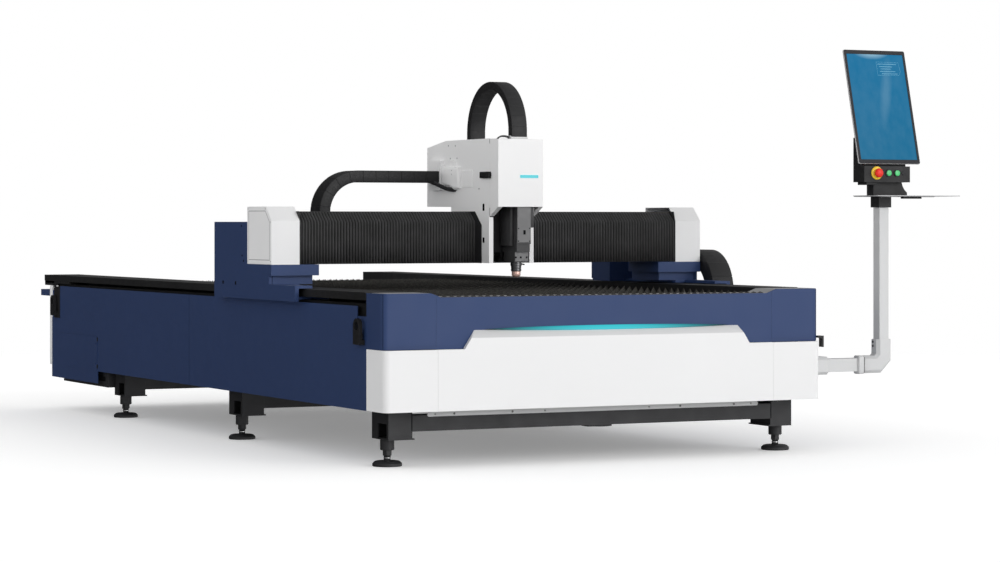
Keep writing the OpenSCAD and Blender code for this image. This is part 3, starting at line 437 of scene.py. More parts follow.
SLAT_PLATE = skin("slat_plate", (0.03, 0.029, 0.027), 0.66, metal=0.3, shade=0.4, cloud=7, drag=(0.5, 1, 1.6),
                  grain=260, bump=0.25, rough_span=0.16, spec=0.25, edge_wear_and_highlight=(0.16, 0.15, 0.13))
MOTOR_BLACK = skin("motor_black", (0.018, 0.018, 0.019), 0.5, shade=0.12, bump=0.1, edge_wear_and_highlight=(0.06, 0.06, 0.06))
CHAIN_NYLON = skin("chain_nylon", (0.016, 0.016, 0.017), 0.5, shade=0.12, cloud=9, grain=1200, bump=0.05,
                   spec=0.25, edge_wear_and_highlight=(0.045, 0.045, 0.045))
CABLE_SHEATH = skin("cable_sheath", (0.035, 0.035, 0.037), 0.5, shade=0.15, cloud=18, grain=1400, bump=0.05)
BELLOWS_CLOTH = skin("bellows_cloth", (0.056, 0.056, 0.057), 0.62, shade=0.18, cloud=14, grain=1500,
                     bump=0.22, spec=0.3)
TURNED_COPPER = skin("turned_copper", (0.88, 0.6, 0.52), 0.3, metal=0.5, shade=0.08, cloud=40, drag=(1, 1, 9),
                     grain=900)
BURNT_NICKEL = skin("burnt_nickel", (0.11, 0.11, 0.115), 0.3, metal=0.9, shade=0.2, cloud=30, drag=(1, 1, 12),
                    grain=900, bump=0.1)
HEAD_GREY = skin("head_grey", (0.125, 0.125, 0.128), 0.45, metal=0.1, shade=0.08, cloud=8, grain=900,
                 bump=0.07, edge_wear_and_highlight=(0.3, 0.3, 0.3))
HEAD_DARK = skin("head_dark", (0.05, 0.05, 0.052), 0.5, shade=0.1, cloud=8, grain=900, bump=0.07, spec=0.3,
                 edge_wear_and_highlight=(0.12, 0.12, 0.12))
PALE_PLATE = skin("pale_plate", (0.95, 0.95, 0.95), 0.5, shade=0.012, bump=0.03, spec=0.3)
LEDGE_GREY = skin("ledge_grey", (0.66, 0.66, 0.665), 0.6, shade=0.012, bump=0.03, spec=0.15)
JOINT_GREY = skin("joint_grey", (0.3, 0.3, 0.31), 0.6, shade=0.05, bump=0.03, spec=0.1)
ZINC_SCREW = skin("zinc_screw", (0.1, 0.1, 0.1), 0.4, metal=0.7, shade=0.2, cloud=60, grain=900)
SOFT_SCREW = skin("soft_screw", (0.42, 0.42, 0.43), 0.45, metal=0.2, shade=0.1, cloud=60, grain=900)
# Near-black steel for the y rails; on the z rails and z screw inside the moving cover it is painted shade.
DARK_STEEL_AND_SHADE = skin("dark_steel_and_shade", (0.02, 0.02, 0.021), 0.42, metal=0.3, shade=0.15, drag=(1, 0.05, 1),
                       grain=900, bump=0.06, spec=0.3)
BLUE_JOINT = skin("blue_joint", (0.012, 0.024, 0.066), 0.6, shade=0.05, bump=0.04, spec=0.1)
# Near-black for black screws, a lever and joint lines, and painted shade: the gaps and slots drawn in it are
# thin plates standing in for the shade inside openings.
BLACK_AND_SHADE = skin("black_fittings_and_shade", (0.006, 0.006, 0.007), 0.8, shade=0.2, bump=0.05, spec=0.1)
SILVER_RIM = skin("silver_rim", (0.66, 0.65, 0.66), 0.38, metal=0.3, shade=0.08, drag=(1, 1, 0.1), grain=900)
BEZEL_BLACK = skin("bezel_black", (0.02, 0.021, 0.025), 0.42, shade=0.1, cloud=12, grain=1300,
                   bump=0.04, spec=0.18)
TEAL_LENS = fading_light("teal_lens", (0.02, 0.42, 0.48), 1.25, 0.0, 600.0)
TEAL_LIGHT = skin("teal_light", (0.03, 0.3, 0.34), 0.35, shade=0.05, cloud=20, bump=0.02,
                  glow=((0.02, 0.4, 0.46), 0.75))
STOP_YELLOW = skin("stop_yellow", (0.92, 0.62, 0.03), 0.35, shade=0.06, cloud=30, bump=0.03)
STOP_RED = skin("stop_red", (0.82, 0.03, 0.018), 0.36, spec=0.25, shade=0.08, cloud=30, bump=0.03)
# The green keys glow faintly: painted light that brightens them, not a lamp.
KEY_GREEN = skin("key_green", (0.045, 0.44, 0.13), 0.3, shade=0.08, cloud=30, bump=0.02,
                 glow=((0.04, 0.5, 0.14), 0.2))
SCREEN_BLUE = screen_picture("screen_blue")
SCREEN_LINES = skin("screen_lines", (0.03, 0.1, 0.14), 0.3, shade=0.05, cloud=30, bump=0.02,
                    glow=((0.11, 0.36, 0.52), 0.9))

WEARS = {
    "blue_paint": BLUE_COAT, "white_paint": WHITE_COAT, "black_paint": BLACK_COAT,
    "dark_paint": DARK_ENAMEL, "grey_paint": GREY_ENAMEL, "bare_steel": GROUND_STEEL,
    "slat_steel": SLAT_PLATE, "motor_black": MOTOR_BLACK, "chain_black": CHAIN_NYLON,
    "bellows_black": BELLOWS_CLOTH, "copper": TURNED_COPPER, "light_teal": TEAL_LIGHT,
    "screen_blue": SCREEN_LINES, "stop_yellow": STOP_YELLOW, "stop_red": STOP_RED,
    "button_green": KEY_GREEN,
}
# Finishes of their own for some nodes. The carriage and moving covers take the paler white, painted light;
# z_slide, carriage_plate, z_rails and z_screw inside the moving cover are near black, painted shade.
SHADED = {
    "carriage_cover": LIT_WHITE_COAT, "z_cover": LIT_WHITE_COAT, "laser_head": HEAD_DARK, "z_slide": DARK_ENAMEL,
    "carriage_plate": BLACK_COAT, "deck_plates": DULL_STEEL, "y_rails": DARK_STEEL_AND_SHADE,
    "z_rails": DARK_STEEL_AND_SHADE, "z_screw": DARK_STEEL_AND_SHADE,
}
for sub in frame["record"]["subparts"]:
    mesh = NODE[sub["node"]].data
    mesh.materials.clear()
    mesh.materials.append(SHADED.get(sub["node"], WEARS[sub["material_slot"]]))

# Slat table


def saw_strip(x, y, t, low, top):
    """Saw-edged strip: four corner points carried along x, two at one low height, two on the zigzag top."""
    across = np.array([y, y + t, y + t, y])
    z = np.stack([0 * x + low, 0 * x + low, top, top], 1)
    return carried(np.stack([np.repeat(x[:, None], 4, 1), across + 0 * z, z], -1))


def slat_row(count=57, pitch=58.0, teeth=52, tooth=26.0, t=4.0, over=5.0):
    """Slats across the table: saw-edged strips one pitch apart, their tips a little over the plain slats."""
    lo, hi = span_of("slats")
    n = 2 * teeth + 1
    x = np.linspace(lo[0], hi[0], n)
    top = np.where(np.arange(n) % 2 == 0, hi[2] - tooth, hi[2]) + over
    return repeated(saw_strip(x, 0.0, t, lo[2], top), [(0, lo[1] + i * pitch, 0) for i in range(count)])


def front_teeth(pitch=34.0, tall=7.5, t=2.0, dip=18.0, margin=30.0, back=14.0):
    """Saw-edged strip along the front, its foot as far below the corner pieces as the deck dips."""
    half = span_of("front_panel_upper")[1][0] - margin
    base = span_of("front_corners_upper")[1][2] - dip
    x = np.linspace(-half, half, 2 * round(half * 2 / pitch) + 1)
    top = base + np.where(np.arange(len(x)) % 2 == 0, 1.0, tall)
    return saw_strip(x, span_of("deck_plates")[0][1] + back, t, base - 1, top)


piece("front_teeth", front_teeth(), SLAT_PLATE, "bed", smooth=20)
piece("slat_rows", slat_row(), SLAT_PLATE, "bed", ["slats"], smooth=20)


def slag_chutes(wall=3.0, lap=6.0, clear=2.0, end=4.0):
    """Chute plates from the slat combs down into the tray: slim sloping outlines, carried along y at the
    sides and along x at the ends."""
    tray_lo, tray_hi = span_of("slag_trays")
    comb_lo, comb_hi = span_of("slat_combs")
    top, low = comb_lo[2] - clear, tray_hi[2] - lap

    def slope(upper, lower):
        """Slim wall from its upper place down to its lower place."""
        return np.array([(upper - wall, top), (lower - wall, low), (lower, low), (upper, top)])

    side = slope(comb_hi[0] - 1, tray_hi[0] - lap)
    rear = slope(comb_hi[1] - clear, tray_hi[1] - lap)
    front = slope(comb_lo[1] + clear + wall, tray_lo[1] + lap + wall)
    along = facing(stepped(side, [(0, end - comb_hi[1]), (0, -end - comb_lo[1])]), "-y")
    reach = tray_hi[0] - lap
    ends = [facing(stepped(line, [(0, -reach), (0, reach)]), "+x") for line in (rear, front)]
    return merged(both_sides(along), *ends)


piece("slag_chutes", slag_chutes(), DARK_ENAMEL, "bed")

# Front light


def light_lens(n=61, k=16, half=9.5, middle=584.5, lean=0.283, face=-196.2):
    """Lens strip: an oval carried along x, its half height half (1 - u^2)^0.8, leaning with the ledge.

    The oval stands 2 mm proud in front and reaches 8 mm back into the panel."""
    lo, hi = span_of("front_led")
    u = np.linspace(-1, 1, n)[:, None]
    a = np.arange(k) * 2 * np.pi / k
    rise = (half * (1 - u**2) ** 0.8 + 0.6) * np.sin(a)
    depth = np.where(np.cos(a) > 0, 2.0, 8.0) * np.cos(a)
    x = lo[0] + (hi[0] - lo[0]) * (u + 1) / 2 + 0 * rise
    return carried(np.stack([x, face + lean * rise - depth, middle + rise], -1))


def ledge_strip():
    """Matt strip on the front's sloping ledge: a trapezoid in the ledge's own plane, a third of a mm proud.

    The plane runs from low up to high in (y, z), and the strip's sides follow the field's slant."""
    low, high = np.array([-212.0, 549.0]), np.array([-192.0, 582.0])
    up = (high - low) / np.linalg.norm(high - low)
    out = np.array([-up[1], up[0]])
    reach = np.linalg.norm(high - low)
    line = np.array([(-676, 0.5), (676, 0.5), (656, reach - 0.5), (-656, reach - 0.5)])
    v, f = stepped(line, [(0, -1.0), (0, 0.2), (0.2, 0.35)])
    yz = low + v[:, 1:2] * up + v[:, 2:3] * out
    return outward((np.column_stack([v[:, 0], yz]), f))


piece("front_ledge_strip", ledge_strip(), LEDGE_GREY, "bed")
piece("front_light_lens", light_lens(), TEAL_LENS, "bed", ["front_led"], smooth=50)

# Side and front trim

PANEL_X = span_of("side_panels")[1][0]


def seam_strips(y=2115.0, wide=2.4, notch=66.0):
    """Panel joint on both sides: a strip from the lower notch up, a quarter of a millimetre off the panel."""
    lo, hi = span_of("side_panels")
    line = soft_rect((y, lo[2] + notch), (y + wide, hi[2] - 1), 0.5, 1)
    strip = stepped(line, [(0, -0.3), (0, 0.25)])
    return both_sides(moved(facing(strip, "+x"), (PANEL_X, 0, 0)))


def panel_latches(y=3514.0, heights=(411.0, 266.0)):
    """Two quarter-turn latches on the access cover's edge: round-ended plates with a raised bar on each."""
    plate = stepped(soft_rect((-6, -11), (6, 11), 5.5), [(0, -2.5), (0, 0.6), (1, 1.2)])
    bar = stepped(soft_rect((-2, -8), (2, 8), 1.8), [(0, 1), (0, 2), (0.6, 2.5)])
    latch = facing(merged(plate, bar), "+x")
    return mirrored(repeated(latch, [(PANEL_X + 2, y, z) for z in heights]))


def levelling_foot(pitch=3.2, turns=6, r=14.2):
    """Levelling foot: lathe pad with a cone, a stud with ridges one pitch apart and a six-sided lock nut."""
    h = 26 + np.arange(2 * turns + 1) * pitch / 2
    thread = [(r + 1.2 * (i % 2), z) for i, z in enumerate(h)]
    pad = [(61, 0), (64, 2), (64, 12.5), (54, 22), (46, 24), (20, 24.5), (17, 26)]
    nut = moved(turned([(17, 0), (21, 1.5), (21, 22.5), (17, 24)], 6), (0, 0, 45))
    return merged(turned(pad + thread + [(r, 47)], 32), nut)


def sleeve_band():
    """Band round each threaded sleeve: a ring with eased edges between the bracket and the lock nut."""
    return turned_ring([(28, 70), (30.5, 71.5), (30.5, 112), (28, 113.5)], 32)


def rear_runners(face=1050.0):
    """Dark runner behind each rear foot: a block under the side beam, and two long slots in its face drawn as
    thin black plates, their black painted shade of the openings.
    """
    bar = eased_block((1004, 3446, 155), (face, 4200, 239.5), 3)
    lines = [soft_rect((y, 186), (y + 120, 212), 12) for y in (3480, 3760)]
    slots = [facing(stepped(line, [(0, -1), (0, 0.4)]), "+x") for line in lines]
    return both_sides(bar), both_sides(moved(merged(*slots), (face, 0, 0)))


def rail_end_stops(face=1083.0, top=711.5):
    """Stops under the rear overhang of each rail cover: a long block, a filler below it and an end block.

    They close the slot behind the gantry's last position."""
    upper = eased_block((1040, 4010, 696.5), (face, 4440, top), 2)
    filler = eased_block((1040, 4226, 684.5), (face, 4272, 698), 1)
    end = eased_block((889, 4270, 685), (face, 4438, top), 1)
    return both_sides(merged(upper, filler, end))


def rear_flanges():
    """Return flange of the rear panel, showing as a pale edge behind each side panel."""
    y = span_of("side_panels")[1][1] + 1
    return both_sides(eased_block((1058, y, 242), (1083, y + 44, 683), 2))


def eye_plates(y=4210.0):
    """Backing plates of the rear lifting eyes: round-cornered plates against the side panels."""
    plate = stepped(soft_rect((y - 46, 506), (y + 53, 682), 5), [(0, -1), (0, 1.6), (1, 2.4)])
    return both_sides(moved(facing(plate, "+x"), (PANEL_X, 0, 0)))


def side_hook(front=-196.0):
    """Cable hook at the right end of the front: an angle in (x, z) carried along y."""
    line = np.array([(1083, 517), (1100, 517), (1104, 513), (1104, 475), (1112, 475), (1112, 526),
                     (1083, 526)], float)
    v, f = stepped(line[::-1], [(0.4, 0), (0, 0.6), (0, 27), (0.4, 27.6)])
    return outward((np.column_stack([v[:, 0], front + v[:, 2], v[:, 1]]), f))


SKIRT_Y = span_of("front_skirt")[0][1]
FOOT_X, FOOT_PITCH = 975.0, 1684.0
FEET = [(side * FOOT_X, i * FOOT_PITCH, 0) for side in (-1, 1) for i in range(3)]
BRACKET_Y, BRACKET_X = SKIRT_Y + 4, 896.0


def bracket_gap_shades():
    """Painted shade of the gap between each front bracket and the cross beam: a narrow black plate on the
    bracket's front.
    """
    strip = stepped(soft_rect((BRACKET_X, 150), (BRACKET_X + 5, 236), 1.5, 1), [(0, -1), (0, 0.4)])
    return both_sides(moved(facing(strip, "-y"), (0, BRACKET_Y, 0)))


def corner_joints():
    """Joint line down each rounded front corner: a thin bead half sunk into the rounding."""
    line = np.array([(-1077.6, -182.6, z) for z in (506.0, 620.0, 738.0)])
    bead = round_line(line, 1.6)
    return both_sides(bead)


runner, runner_slots = rear_runners()
piece("corner_joints", corner_joints(), BLUE_JOINT, "bed")
piece("bracket_gap_shades", bracket_gap_shades(), BLACK_AND_SHADE, "bed")
piece("side_panel_joints", seam_strips(), BLUE_JOINT, "bed")
piece("access_cover_latches", panel_latches(), BLACK_COAT, "bed")
piece("levelling_feet_turned", repeated(levelling_foot(), FEET), DARK_ENAMEL, "bed", ["levelling_feet"],
      smooth=24)
piece("sleeve_bands", repeated(sleeve_band(), FEET), DARK_ENAMEL, "bed", smooth=30)
piece("rear_runners", runner, DARK_ENAMEL, "bed")
piece("runner_slots", runner_slots, BLACK_AND_SHADE, "bed")
piece("rail_end_stops", rail_end_stops(), BLACK_COAT, "bed")
piece("rear_flanges", rear_flanges(), WHITE_COAT, "bed")
piece("eye_plates", eye_plates(), BLACK_COAT, "bed")
piece("side_hook", side_hook(), BLACK_COAT, "bed")
washer = turned_ring([(13.5, 35), (16.4, 35), (16.4, 37.2), (13.5, 37.2)], 24)
piece("foot_washers", repeated(washer, FEET), GROUND_STEEL, "bed")
SKIRT_SCREWS = [(x, SKIRT_Y, 222) for x in (-700, -420, 420, 700)]
piece("skirt_screws", screws(SKIRT_SCREWS, "-y", 5, 3), ZINC_SCREW, "bed")

# Operator arm

POST_X, POST_Y, ARM_Z = 1469.0, -130.0, 387.0
SOCKET_X, LIP_X, COLLAR_X, GASKET_X = 1084.2, 1157.0, 1321.0, 1348.0


def arm_elbow(leg=32.5, start=1350.0, top=502.0):
    """Cast elbow: a cut-cornered square carried along the arm, round two 45 degree mitres and up the post.

    At a mitre the first axis is lengthened by 1 / cos 22.5, so that the straight walls keep their width."""
    lean = np.radians([0, 0, 22.5, 67.5, 90, 90])
    wide = np.array([0.97, 1, 1, 1, 1, 0.97])
    long = wide / np.where((lean > 0.1) & (lean < 1.4), math.cos(math.radians(22.5)), 1)
    x = np.array([start, start + 2, POST_X - leg, POST_X, POST_X, POST_X])
    z = np.array([ARM_Z, ARM_Z, ARM_Z, ARM_Z + leg, top - 3, top])
    places = np.stack([x, 0 * x + POST_Y, z], -1)
    first = np.stack([-np.sin(lean), 0 * lean, np.cos(lean)], -1) * long[:, None]
    return swept(cut_rect(40, 33, 14), places, first, np.stack([0 * wide, wide, 0 * wide], -1))


def arm_rings():
    """Collar at the elbow and socket at the bed: outlines in (y, z) carried along the arm with eased ends."""
    mid = np.array([POST_Y, ARM_Z])
    collar = stepped(soft_rect(mid - 42, mid + (6, 42), 9), [(2.5, 0), (0, 2.5), (0, 25.5), (2.5, 28)])
    foot = stepped(cut_rect(41, 41, 13) + mid, [(0, 0), (0, 69), (4.5, 74)])
    return merged(moved(facing(collar, "+x"), (COLLAR_X, 0, 0)), moved(facing(foot, "+x"), (SOCKET_X, 0, 0)))


def arm_gaskets():
    """Dark rubber ring between collar and elbow, and the line where the socket takes the tube."""
    mid = np.array([POST_Y, ARM_Z])
    ring = stepped(cut_rect(40.6, 40.6, 8) + mid, [(0, 0), (0, 3.6)])
    lip = stepped(cut_rect(33, 33, 6) + mid, [(0, 0), (0, 3)])
    return merged(moved(facing(ring, "+x"), (GASKET_X, 0, 0)), moved(facing(lip, "+x"), (LIP_X, 0, 0)))


piece("arm_elbow", merged(arm_elbow(), arm_rings()), GREY_ENAMEL, "bed", ["arm_castings"])
piece("arm_gaskets", arm_gaskets(), DARK_ENAMEL, "bed")
ELBOW_SCREWS = [(40 - POST_X, POST_Y + 6, z) for z in (471.0, 490.0)]
piece("elbow_screws", mirrored(screws(ELBOW_SCREWS, "+x", 6, 3)), ZINC_SCREW, "bed")

# Gantry end caps and brackets

CAP_LO, CAP_HI = span_of("end_caps")
CAP_X0, CAP_X1, CHAMFER = 991.0, CAP_HI[0], 64.0


def cap_outline():
    """Gantry's outline in (y, z) at its ends: a rectangle with its upper front corner cut off."""
    y0, y1, z0, z1 = CAP_LO[1], CAP_HI[1], CAP_LO[2], CAP_HI[2]
    return np.array([(y0, z0), (y1, z0), (y1, z1), (y0 + CHAMFER, z1), (y0, z1 - CHAMFER)])


def end_cap(wall=2.5):
    """Folded cap: the gantry's outline as a thin wall, its outer face with a grooved inspection panel."""
    inside = [(wall, CAP_X1 - 3.5), (wall, CAP_X0), (0, CAP_X0)]
    outside = [(0, CAP_X1 - 2.4), (0.8, CAP_X1 - 0.7), (2.4, CAP_X1)]
    groove = [(19.2, CAP_X1), (19.6, CAP_X1 - 1.6), (21.6, CAP_X1 - 1.6), (22, CAP_X1)]
    return facing(stepped(cap_outline(), inside + outside + groove), "+x")


def cap_joint():
    """Joint line of the cap's inspection panel: a loop 19 to 21.8 mm in from the outline, 0.2 mm proud."""
    loops = [(19.0, -1.8), (19.0, 0.2), (21.8, 0.2), (21.8, -1.8)]
    return moved(facing(flat_loop(cap_outline(), loops), "+x"), (CAP_X1, 0, 0))


CAP_SCREWS = [(CAP_X1, y, z) for y, z in ((940, 862), (1216, 862), (1216, 1102), (1002, 1102), (940, 1042))]
PLATE_SCREWS = [(CAP_X1, y, z) for y, z in ((1534, 758), (1373, 757))]
EDGE_SCREWS = [(CAP_X1, y, z) for y, z in ((1296, 1024), (1290, 886), (1271, 862))]
piece("end_cap_shells", both_sides(end_cap()), WHITE_COAT, "gantry", ["end_caps"], smooth=30)
piece("end_cap_screws", both_sides(screws(CAP_SCREWS, "+x", 3, 1.2)), SOFT_SCREW, "gantry")
piece("end_cap_joints", both_sides(cap_joint()), JOINT_GREY, "gantry")
bracket_screws = merged(screws(PLATE_SCREWS, "+x", 9, 1.4), screws(EDGE_SCREWS, "+x", 5, 1.4))
piece("bracket_screws", both_sides(bracket_screws), BLACK_AND_SHADE, "gantry")

# Bellows over the gantry


def pleated_cover(x0, x1, pitch=14.7, depth=16.0):
    """Pleats along x: the cover line in (y, z) is pushed in by depth (1 - |sin(pi x / p)|).

    Returns the grid of points (n, k, 3) with softened corners where the line breaks."""
    count = int((x1 - x0) // pitch)
    t = np.linspace(0, count, count * 8 + 1)
    o = depth * (1 - np.abs(np.sin(np.pi * t)))
    front, low, front_top, top_front, top, rear = 934, 850, 1043, 990, 1090, 1200
    a = np.stack([front + o, low + 0 * o], 1)
    b = np.stack([front + o, front_top - 0.4 * o], 1)
    c = np.stack([top_front + 0.4 * o, top - o], 1)
    d = np.stack([rear + 0 * o, top - o], 1)

    def toward(p, q, mm):
        """The point that lies so many mm from p on the way to q."""
        return p + (q - p) / np.linalg.norm(q - p, axis=1)[:, None] * mm

    pts = [a, a + (b - a) * 0.5, toward(b, a, 9), (toward(b, a, 3) + toward(b, c, 3)) / 2, toward(b, c, 9),
           toward(c, b, 9), (toward(c, b, 3) + toward(c, d, 3)) / 2, toward(c, d, 9), c + (d - c) * 0.5, d]
    yz = np.stack(pts, 1)
    x = np.repeat((x0 + (x1 - x0) * t / count)[:, None], yz.shape[1], 1)
    return np.concatenate([x[..., None], yz], -1)


def bellows(name, x0, x1):
    """Sheet of pleats between two x places, thickened into cloth, in place of the node it stands for."""
    grid = pleated_cover(x0, x1)
    n, k = grid.shape[:2]
    shape = grid.reshape(-1, 3), [sheet_quads(n, k)[:, ::-1]]
    ob = piece(name, shape, BELLOWS_CLOTH, smooth=60)
    thick = ob.modifiers.new("cloth", "SOLIDIFY")
    thick.thickness, thick.offset = CLOTH_T, -1
    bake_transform(ob)
    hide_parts(name.replace("_folds", ""))


def bellows_frame(x, front=931.0):
    """End frame of the bellows: the cover line a little further out, a 3 mm plate with its front as told."""
    top = 1045.0 - 0.3 * (931.0 - front)
    line = [(front, 849), (957, 849), (957, 1031), (1000, 1066), (1199, 1066), (1199, 1092), (945, 1092),
            (front, top)]
    return moved(facing(stepped(line, [(0.8, 0), (0, 0.8), (0, 2.4), (0.8, 3.2)]), "+x"), (x, 0, 0))


CAP_END, LEFT_END, RIGHT_END, FRAME_T = 990.6, -91.4, 143.4, 3.2
CLOTH_T, BELLOWS_YZ = 0.0012, (-1.1, 1.0)
bellows("bellows_left_folds", -CAP_END, LEFT_END)
bellows("bellows_right_folds", RIGHT_END, CAP_END)
outer_frames = merged(bellows_frame(-CAP_END), bellows_frame(CAP_END - FRAME_T))
inner_frames = merged(bellows_frame(LEFT_END - FRAME_T, 874.0), bellows_frame(RIGHT_END, 900.0))
piece("bellows_outer_frames", outer_frames, DARK_ENAMEL, "gantry")
piece("bellows_inner_frames", inner_frames, DARK_ENAMEL, "carriage")

# Cable chains


def chain_line(s, top, r):
    """Side view at run s: upper run, half turn of radius r, lower run. Gives place and outward normal."""
    turn = np.clip((s - top) / r, 0, np.pi)
    u = np.clip(top - s, 0, None) + np.clip(s - top - np.pi * r, 0, None) - r * np.sin(turn)
    return u, r * np.cos(turn), -np.sin(turn), np.cos(turn)


def link_chain(top, bottom, r, t, w, pitch, to_bed):
    """Closed links: a round-cornered box section carried along the chain line, nicked at every joint.

    to_bed turns (u, v, across) into bed points. Pivots stand on both flanks. Returns the shape, the run s of
    every point and the whole run."""
    rc = r - t / 2
    total = top + np.pi * rc + bottom
    links = int(round(total / pitch))
    cut = np.array([0.0, 0.012, 0.035, 0.2, 0.4, 0.6, 0.8, 0.965, 0.988])
    nick = np.array([0.965, 0.965, 1, 1, 1, 1, 1, 1, 0.965])
    s = np.append((np.arange(links)[:, None] + cut).ravel(), links) / links * total
    draw = np.append(np.tile(nick, links), nick[0])
    a = (np.arange(4)[:, None] * np.pi / 2 + np.linspace(0, np.pi / 2, 3)).ravel()
    sx, sy = np.repeat([1, -1, -1, 1], 3), np.repeat([1, 1, -1, -1], 3)
    soft, proud = 4.0, 1.2
    across = (sx * (w / 2 - proud - soft) + soft * np.cos(a)) * (0.4 + 0.6 * draw)[:, None]
    off = (sy * (t / 2 - soft) + soft * np.sin(a)) * draw[:, None]
    u, v, nu, nv = (q[:, None] for q in chain_line(s, top, rc))
    body = carried(np.stack(to_bed(u + nu * off, v + nv * off, across), -1))
    p, q = turned([(t * 0.22, -1), (t * 0.22, 0.1), (t * 0.2, 0.3), (t * 0.1, 0.3), (t * 0.08, 0.1)], 12)
    sj = (np.arange(links) + 0.5) / links * total
    u, v, nu, nv = chain_line(sj, top, rc)
    shapes, runs = [body], [np.repeat(s, len(a))]
    step = np.arange(links)[:, None, None] * len(p)
    for side in (-1, 1):
        pu, pv = u[:, None] + p[None, :, 0], v[:, None] + p[None, :, 1]
        pa = side * (w / 2 - proud + p[None, :, 2]) + 0 * pu
        points = np.stack(to_bed(pu, pv, pa), -1).reshape(-1, 3)
        shapes.append(outward((points, [(f[None] + step).reshape(-1, f.shape[1]) for f in q])))
        runs.append(np.repeat(sj, len(p)))
    return merged(*shapes), np.concatenate(runs), total


def chain(name, stands_for, fixed, moving, top, bottom, r, t, w, pitch, to_bed, even=False):
    """Chain between two bodies: links along the chain line, put in the scene in place of the node it stands
    for.

    fixed, moving and even are not used."""
    shape, s, total = link_chain(top, bottom, r, t, w, pitch, to_bed)
    ob = piece(name, shape, CHAIN_NYLON, smooth=24)
    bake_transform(ob)
    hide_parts(stands_for)


YC_LO, YC_HI = span_of("y_chain")
XC_LO, XC_HI = span_of("x_chain")
ZC_LO, ZC_HI = span_of("z_chain")
LONG = {"r": 200.0, "t": 56.0, "w": 120.0, "pitch": 66.0}
DEEP = {"r": 200.0, "t": 80.0, "w": 120.0, "pitch": 66.0}
ARCH = {"r": 238.0, "t": 38.0, "w": 84.0, "pitch": 46.0}
YC_BEND, XC_BEND = YC_LO[1] + LONG["r"], XC_LO[0] + LONG["r"]
YC_MID, XC_MID, ZC_MID = (YC_LO[0] + YC_HI[0]) / 2, (XC_LO[1] + XC_HI[1]) / 2, (ZC_LO[0] + ZC_HI[0]) / 2
GANTRY_END, CARRIAGE_END, ARCH_UP, ARCH_DOWN, ARCH_Y = 1420.0, -113.4, 33.6, 27.6, 941.0
chain("y_chain_links", "y_chain", "bed", "gantry", GANTRY_END - YC_BEND, YC_HI[1] - YC_BEND, **DEEP,
      to_bed=lambda u, v, a: (YC_MID + a + 0 * u, YC_BEND + u + 0 * a, YC_LO[2] + LONG["r"] + v + 0 * a))
chain("x_chain_links", "x_chain", "gantry", "carriage", CARRIAGE_END - XC_BEND, XC_HI[0] - XC_BEND, **LONG,
      to_bed=lambda u, v, a: (XC_BEND + u + 0 * a, XC_MID + a + 0 * u, XC_LO[2] + LONG["r"] + v + 0 * a))
chain("z_chain_links", "z_chain", "carriage", "z_head", ARCH_UP, ARCH_DOWN, **ARCH, even=True,
      to_bed=lambda u, v, a: (ZC_MID + a + 0 * u, ARCH_Y + v + 0 * a, ZC_HI[2] - ARCH["r"] - u + 0 * a))

# Carriage trim

WALL_X = 91.0


def left_wall(shape):
    """A shape built facing +x from nought, set on the carriage's left wall."""
    return mirrored(moved(facing(shape, "+x"), (WALL_X, 0, 0)))


def cable_cover():
    """Moulded cover over the chain's end: its outline in (y, z) drawn in as it rises off the wall.

    A tab stands above it and a flat patch lies before it."""
    line = [(1098, 1202), (1146, 1194), (1188, 1212), (1268, 1222), (1288, 1266), (1288, 1306), (1250, 1308),
            (1098, 1302)]
    shell = stepped(line, [(0, -1), (0, 9), (3, 15), (8, 18.5), (14, 19.5)])
    tab = stepped(soft_rect((1148, 1296), (1206, 1338), 5), [(0, -1), (0, 6), (2, 8)])
    patch = stepped(soft_rect((972, 1206), (1092, 1288), 4), [(0, -1), (0, 1.6), (1, 2.4)])
    return merged(left_wall(shell), left_wall(tab), left_wall(patch))


def wall_slots():
    """Dark slots and joints in the carriage's left wall: round-ended black plates a third of a millimetre
    proud, the slots' black painted shade of the openings.
    """
    spots = [((846, 1094), (866, 1128), 5), ((846, 944), (866, 970), 5), ((790, 1408), (793, 1428), 1.2)]
    return merged(*[left_wall(stepped(soft_rect(a, b, r), [(0, -1), (0, 0.35)])) for a, b, r in spots])


def connector_block():
    """Plug connector: housing with a lid and two side clips."""
    body = eased_block((777, 1247, -1), (870, 1277, 15), 2, 3)
    lid = eased_block((790, 1250, 14), (858, 1274, 19), 1.2, 2)
    clips = [eased_block((y, 1255, -1), (y + 7, 1269, 10), 1) for y in (774, 867)]
    return left_wall(merged(body, lid, *clips))


def cable_bundle():
    """Three cables from the chain's end into the wall: one smooth line, each cable beside the next."""
    route = [(-190, 1330, 1252), (-140, 1310, 1240), (-120, 1290, 1226), (-118, 1250, 1212),
             (-120, 1205, 1206), (-116, 1185, 1199), (-106, 1156, 1196), (-88, 1142, 1198)]
    line = bent_line(route, 28)
    return merged(*[round_line(line + np.array(d), 6.0) for d in ((0, 0, 0), (2, 12, -6), (-2, 24, 4))])


WALL_SCREWS = [(1234, 1408), (1159, 1406), (1214, 1346), (1140, 1346), (903, 1198)]
piece("cable_cover", cable_cover(), PALE_PLATE, "carriage", smooth=30)
piece("carriage_slots", wall_slots(), BLACK_AND_SHADE, "carriage")
piece("carriage_connector", connector_block(), BLACK_COAT, "carriage")
piece("chain_cables", cable_bundle(), CABLE_SHEATH, "carriage", smooth=60)
wall_screws = mirrored(screws([(WALL_X, y, z) for y, z in WALL_SCREWS], "+x", 4, 1.8))
COVER_SCREWS = [(WALL_X + 19.4, 1160, z) for z in (1288, 1270)]
cover_screws = mirrored(screws(COVER_SCREWS, "+x", 3, 1.4))
piece("carriage_screws", merged(wall_screws, cover_screws), SOFT_SCREW, "carriage")

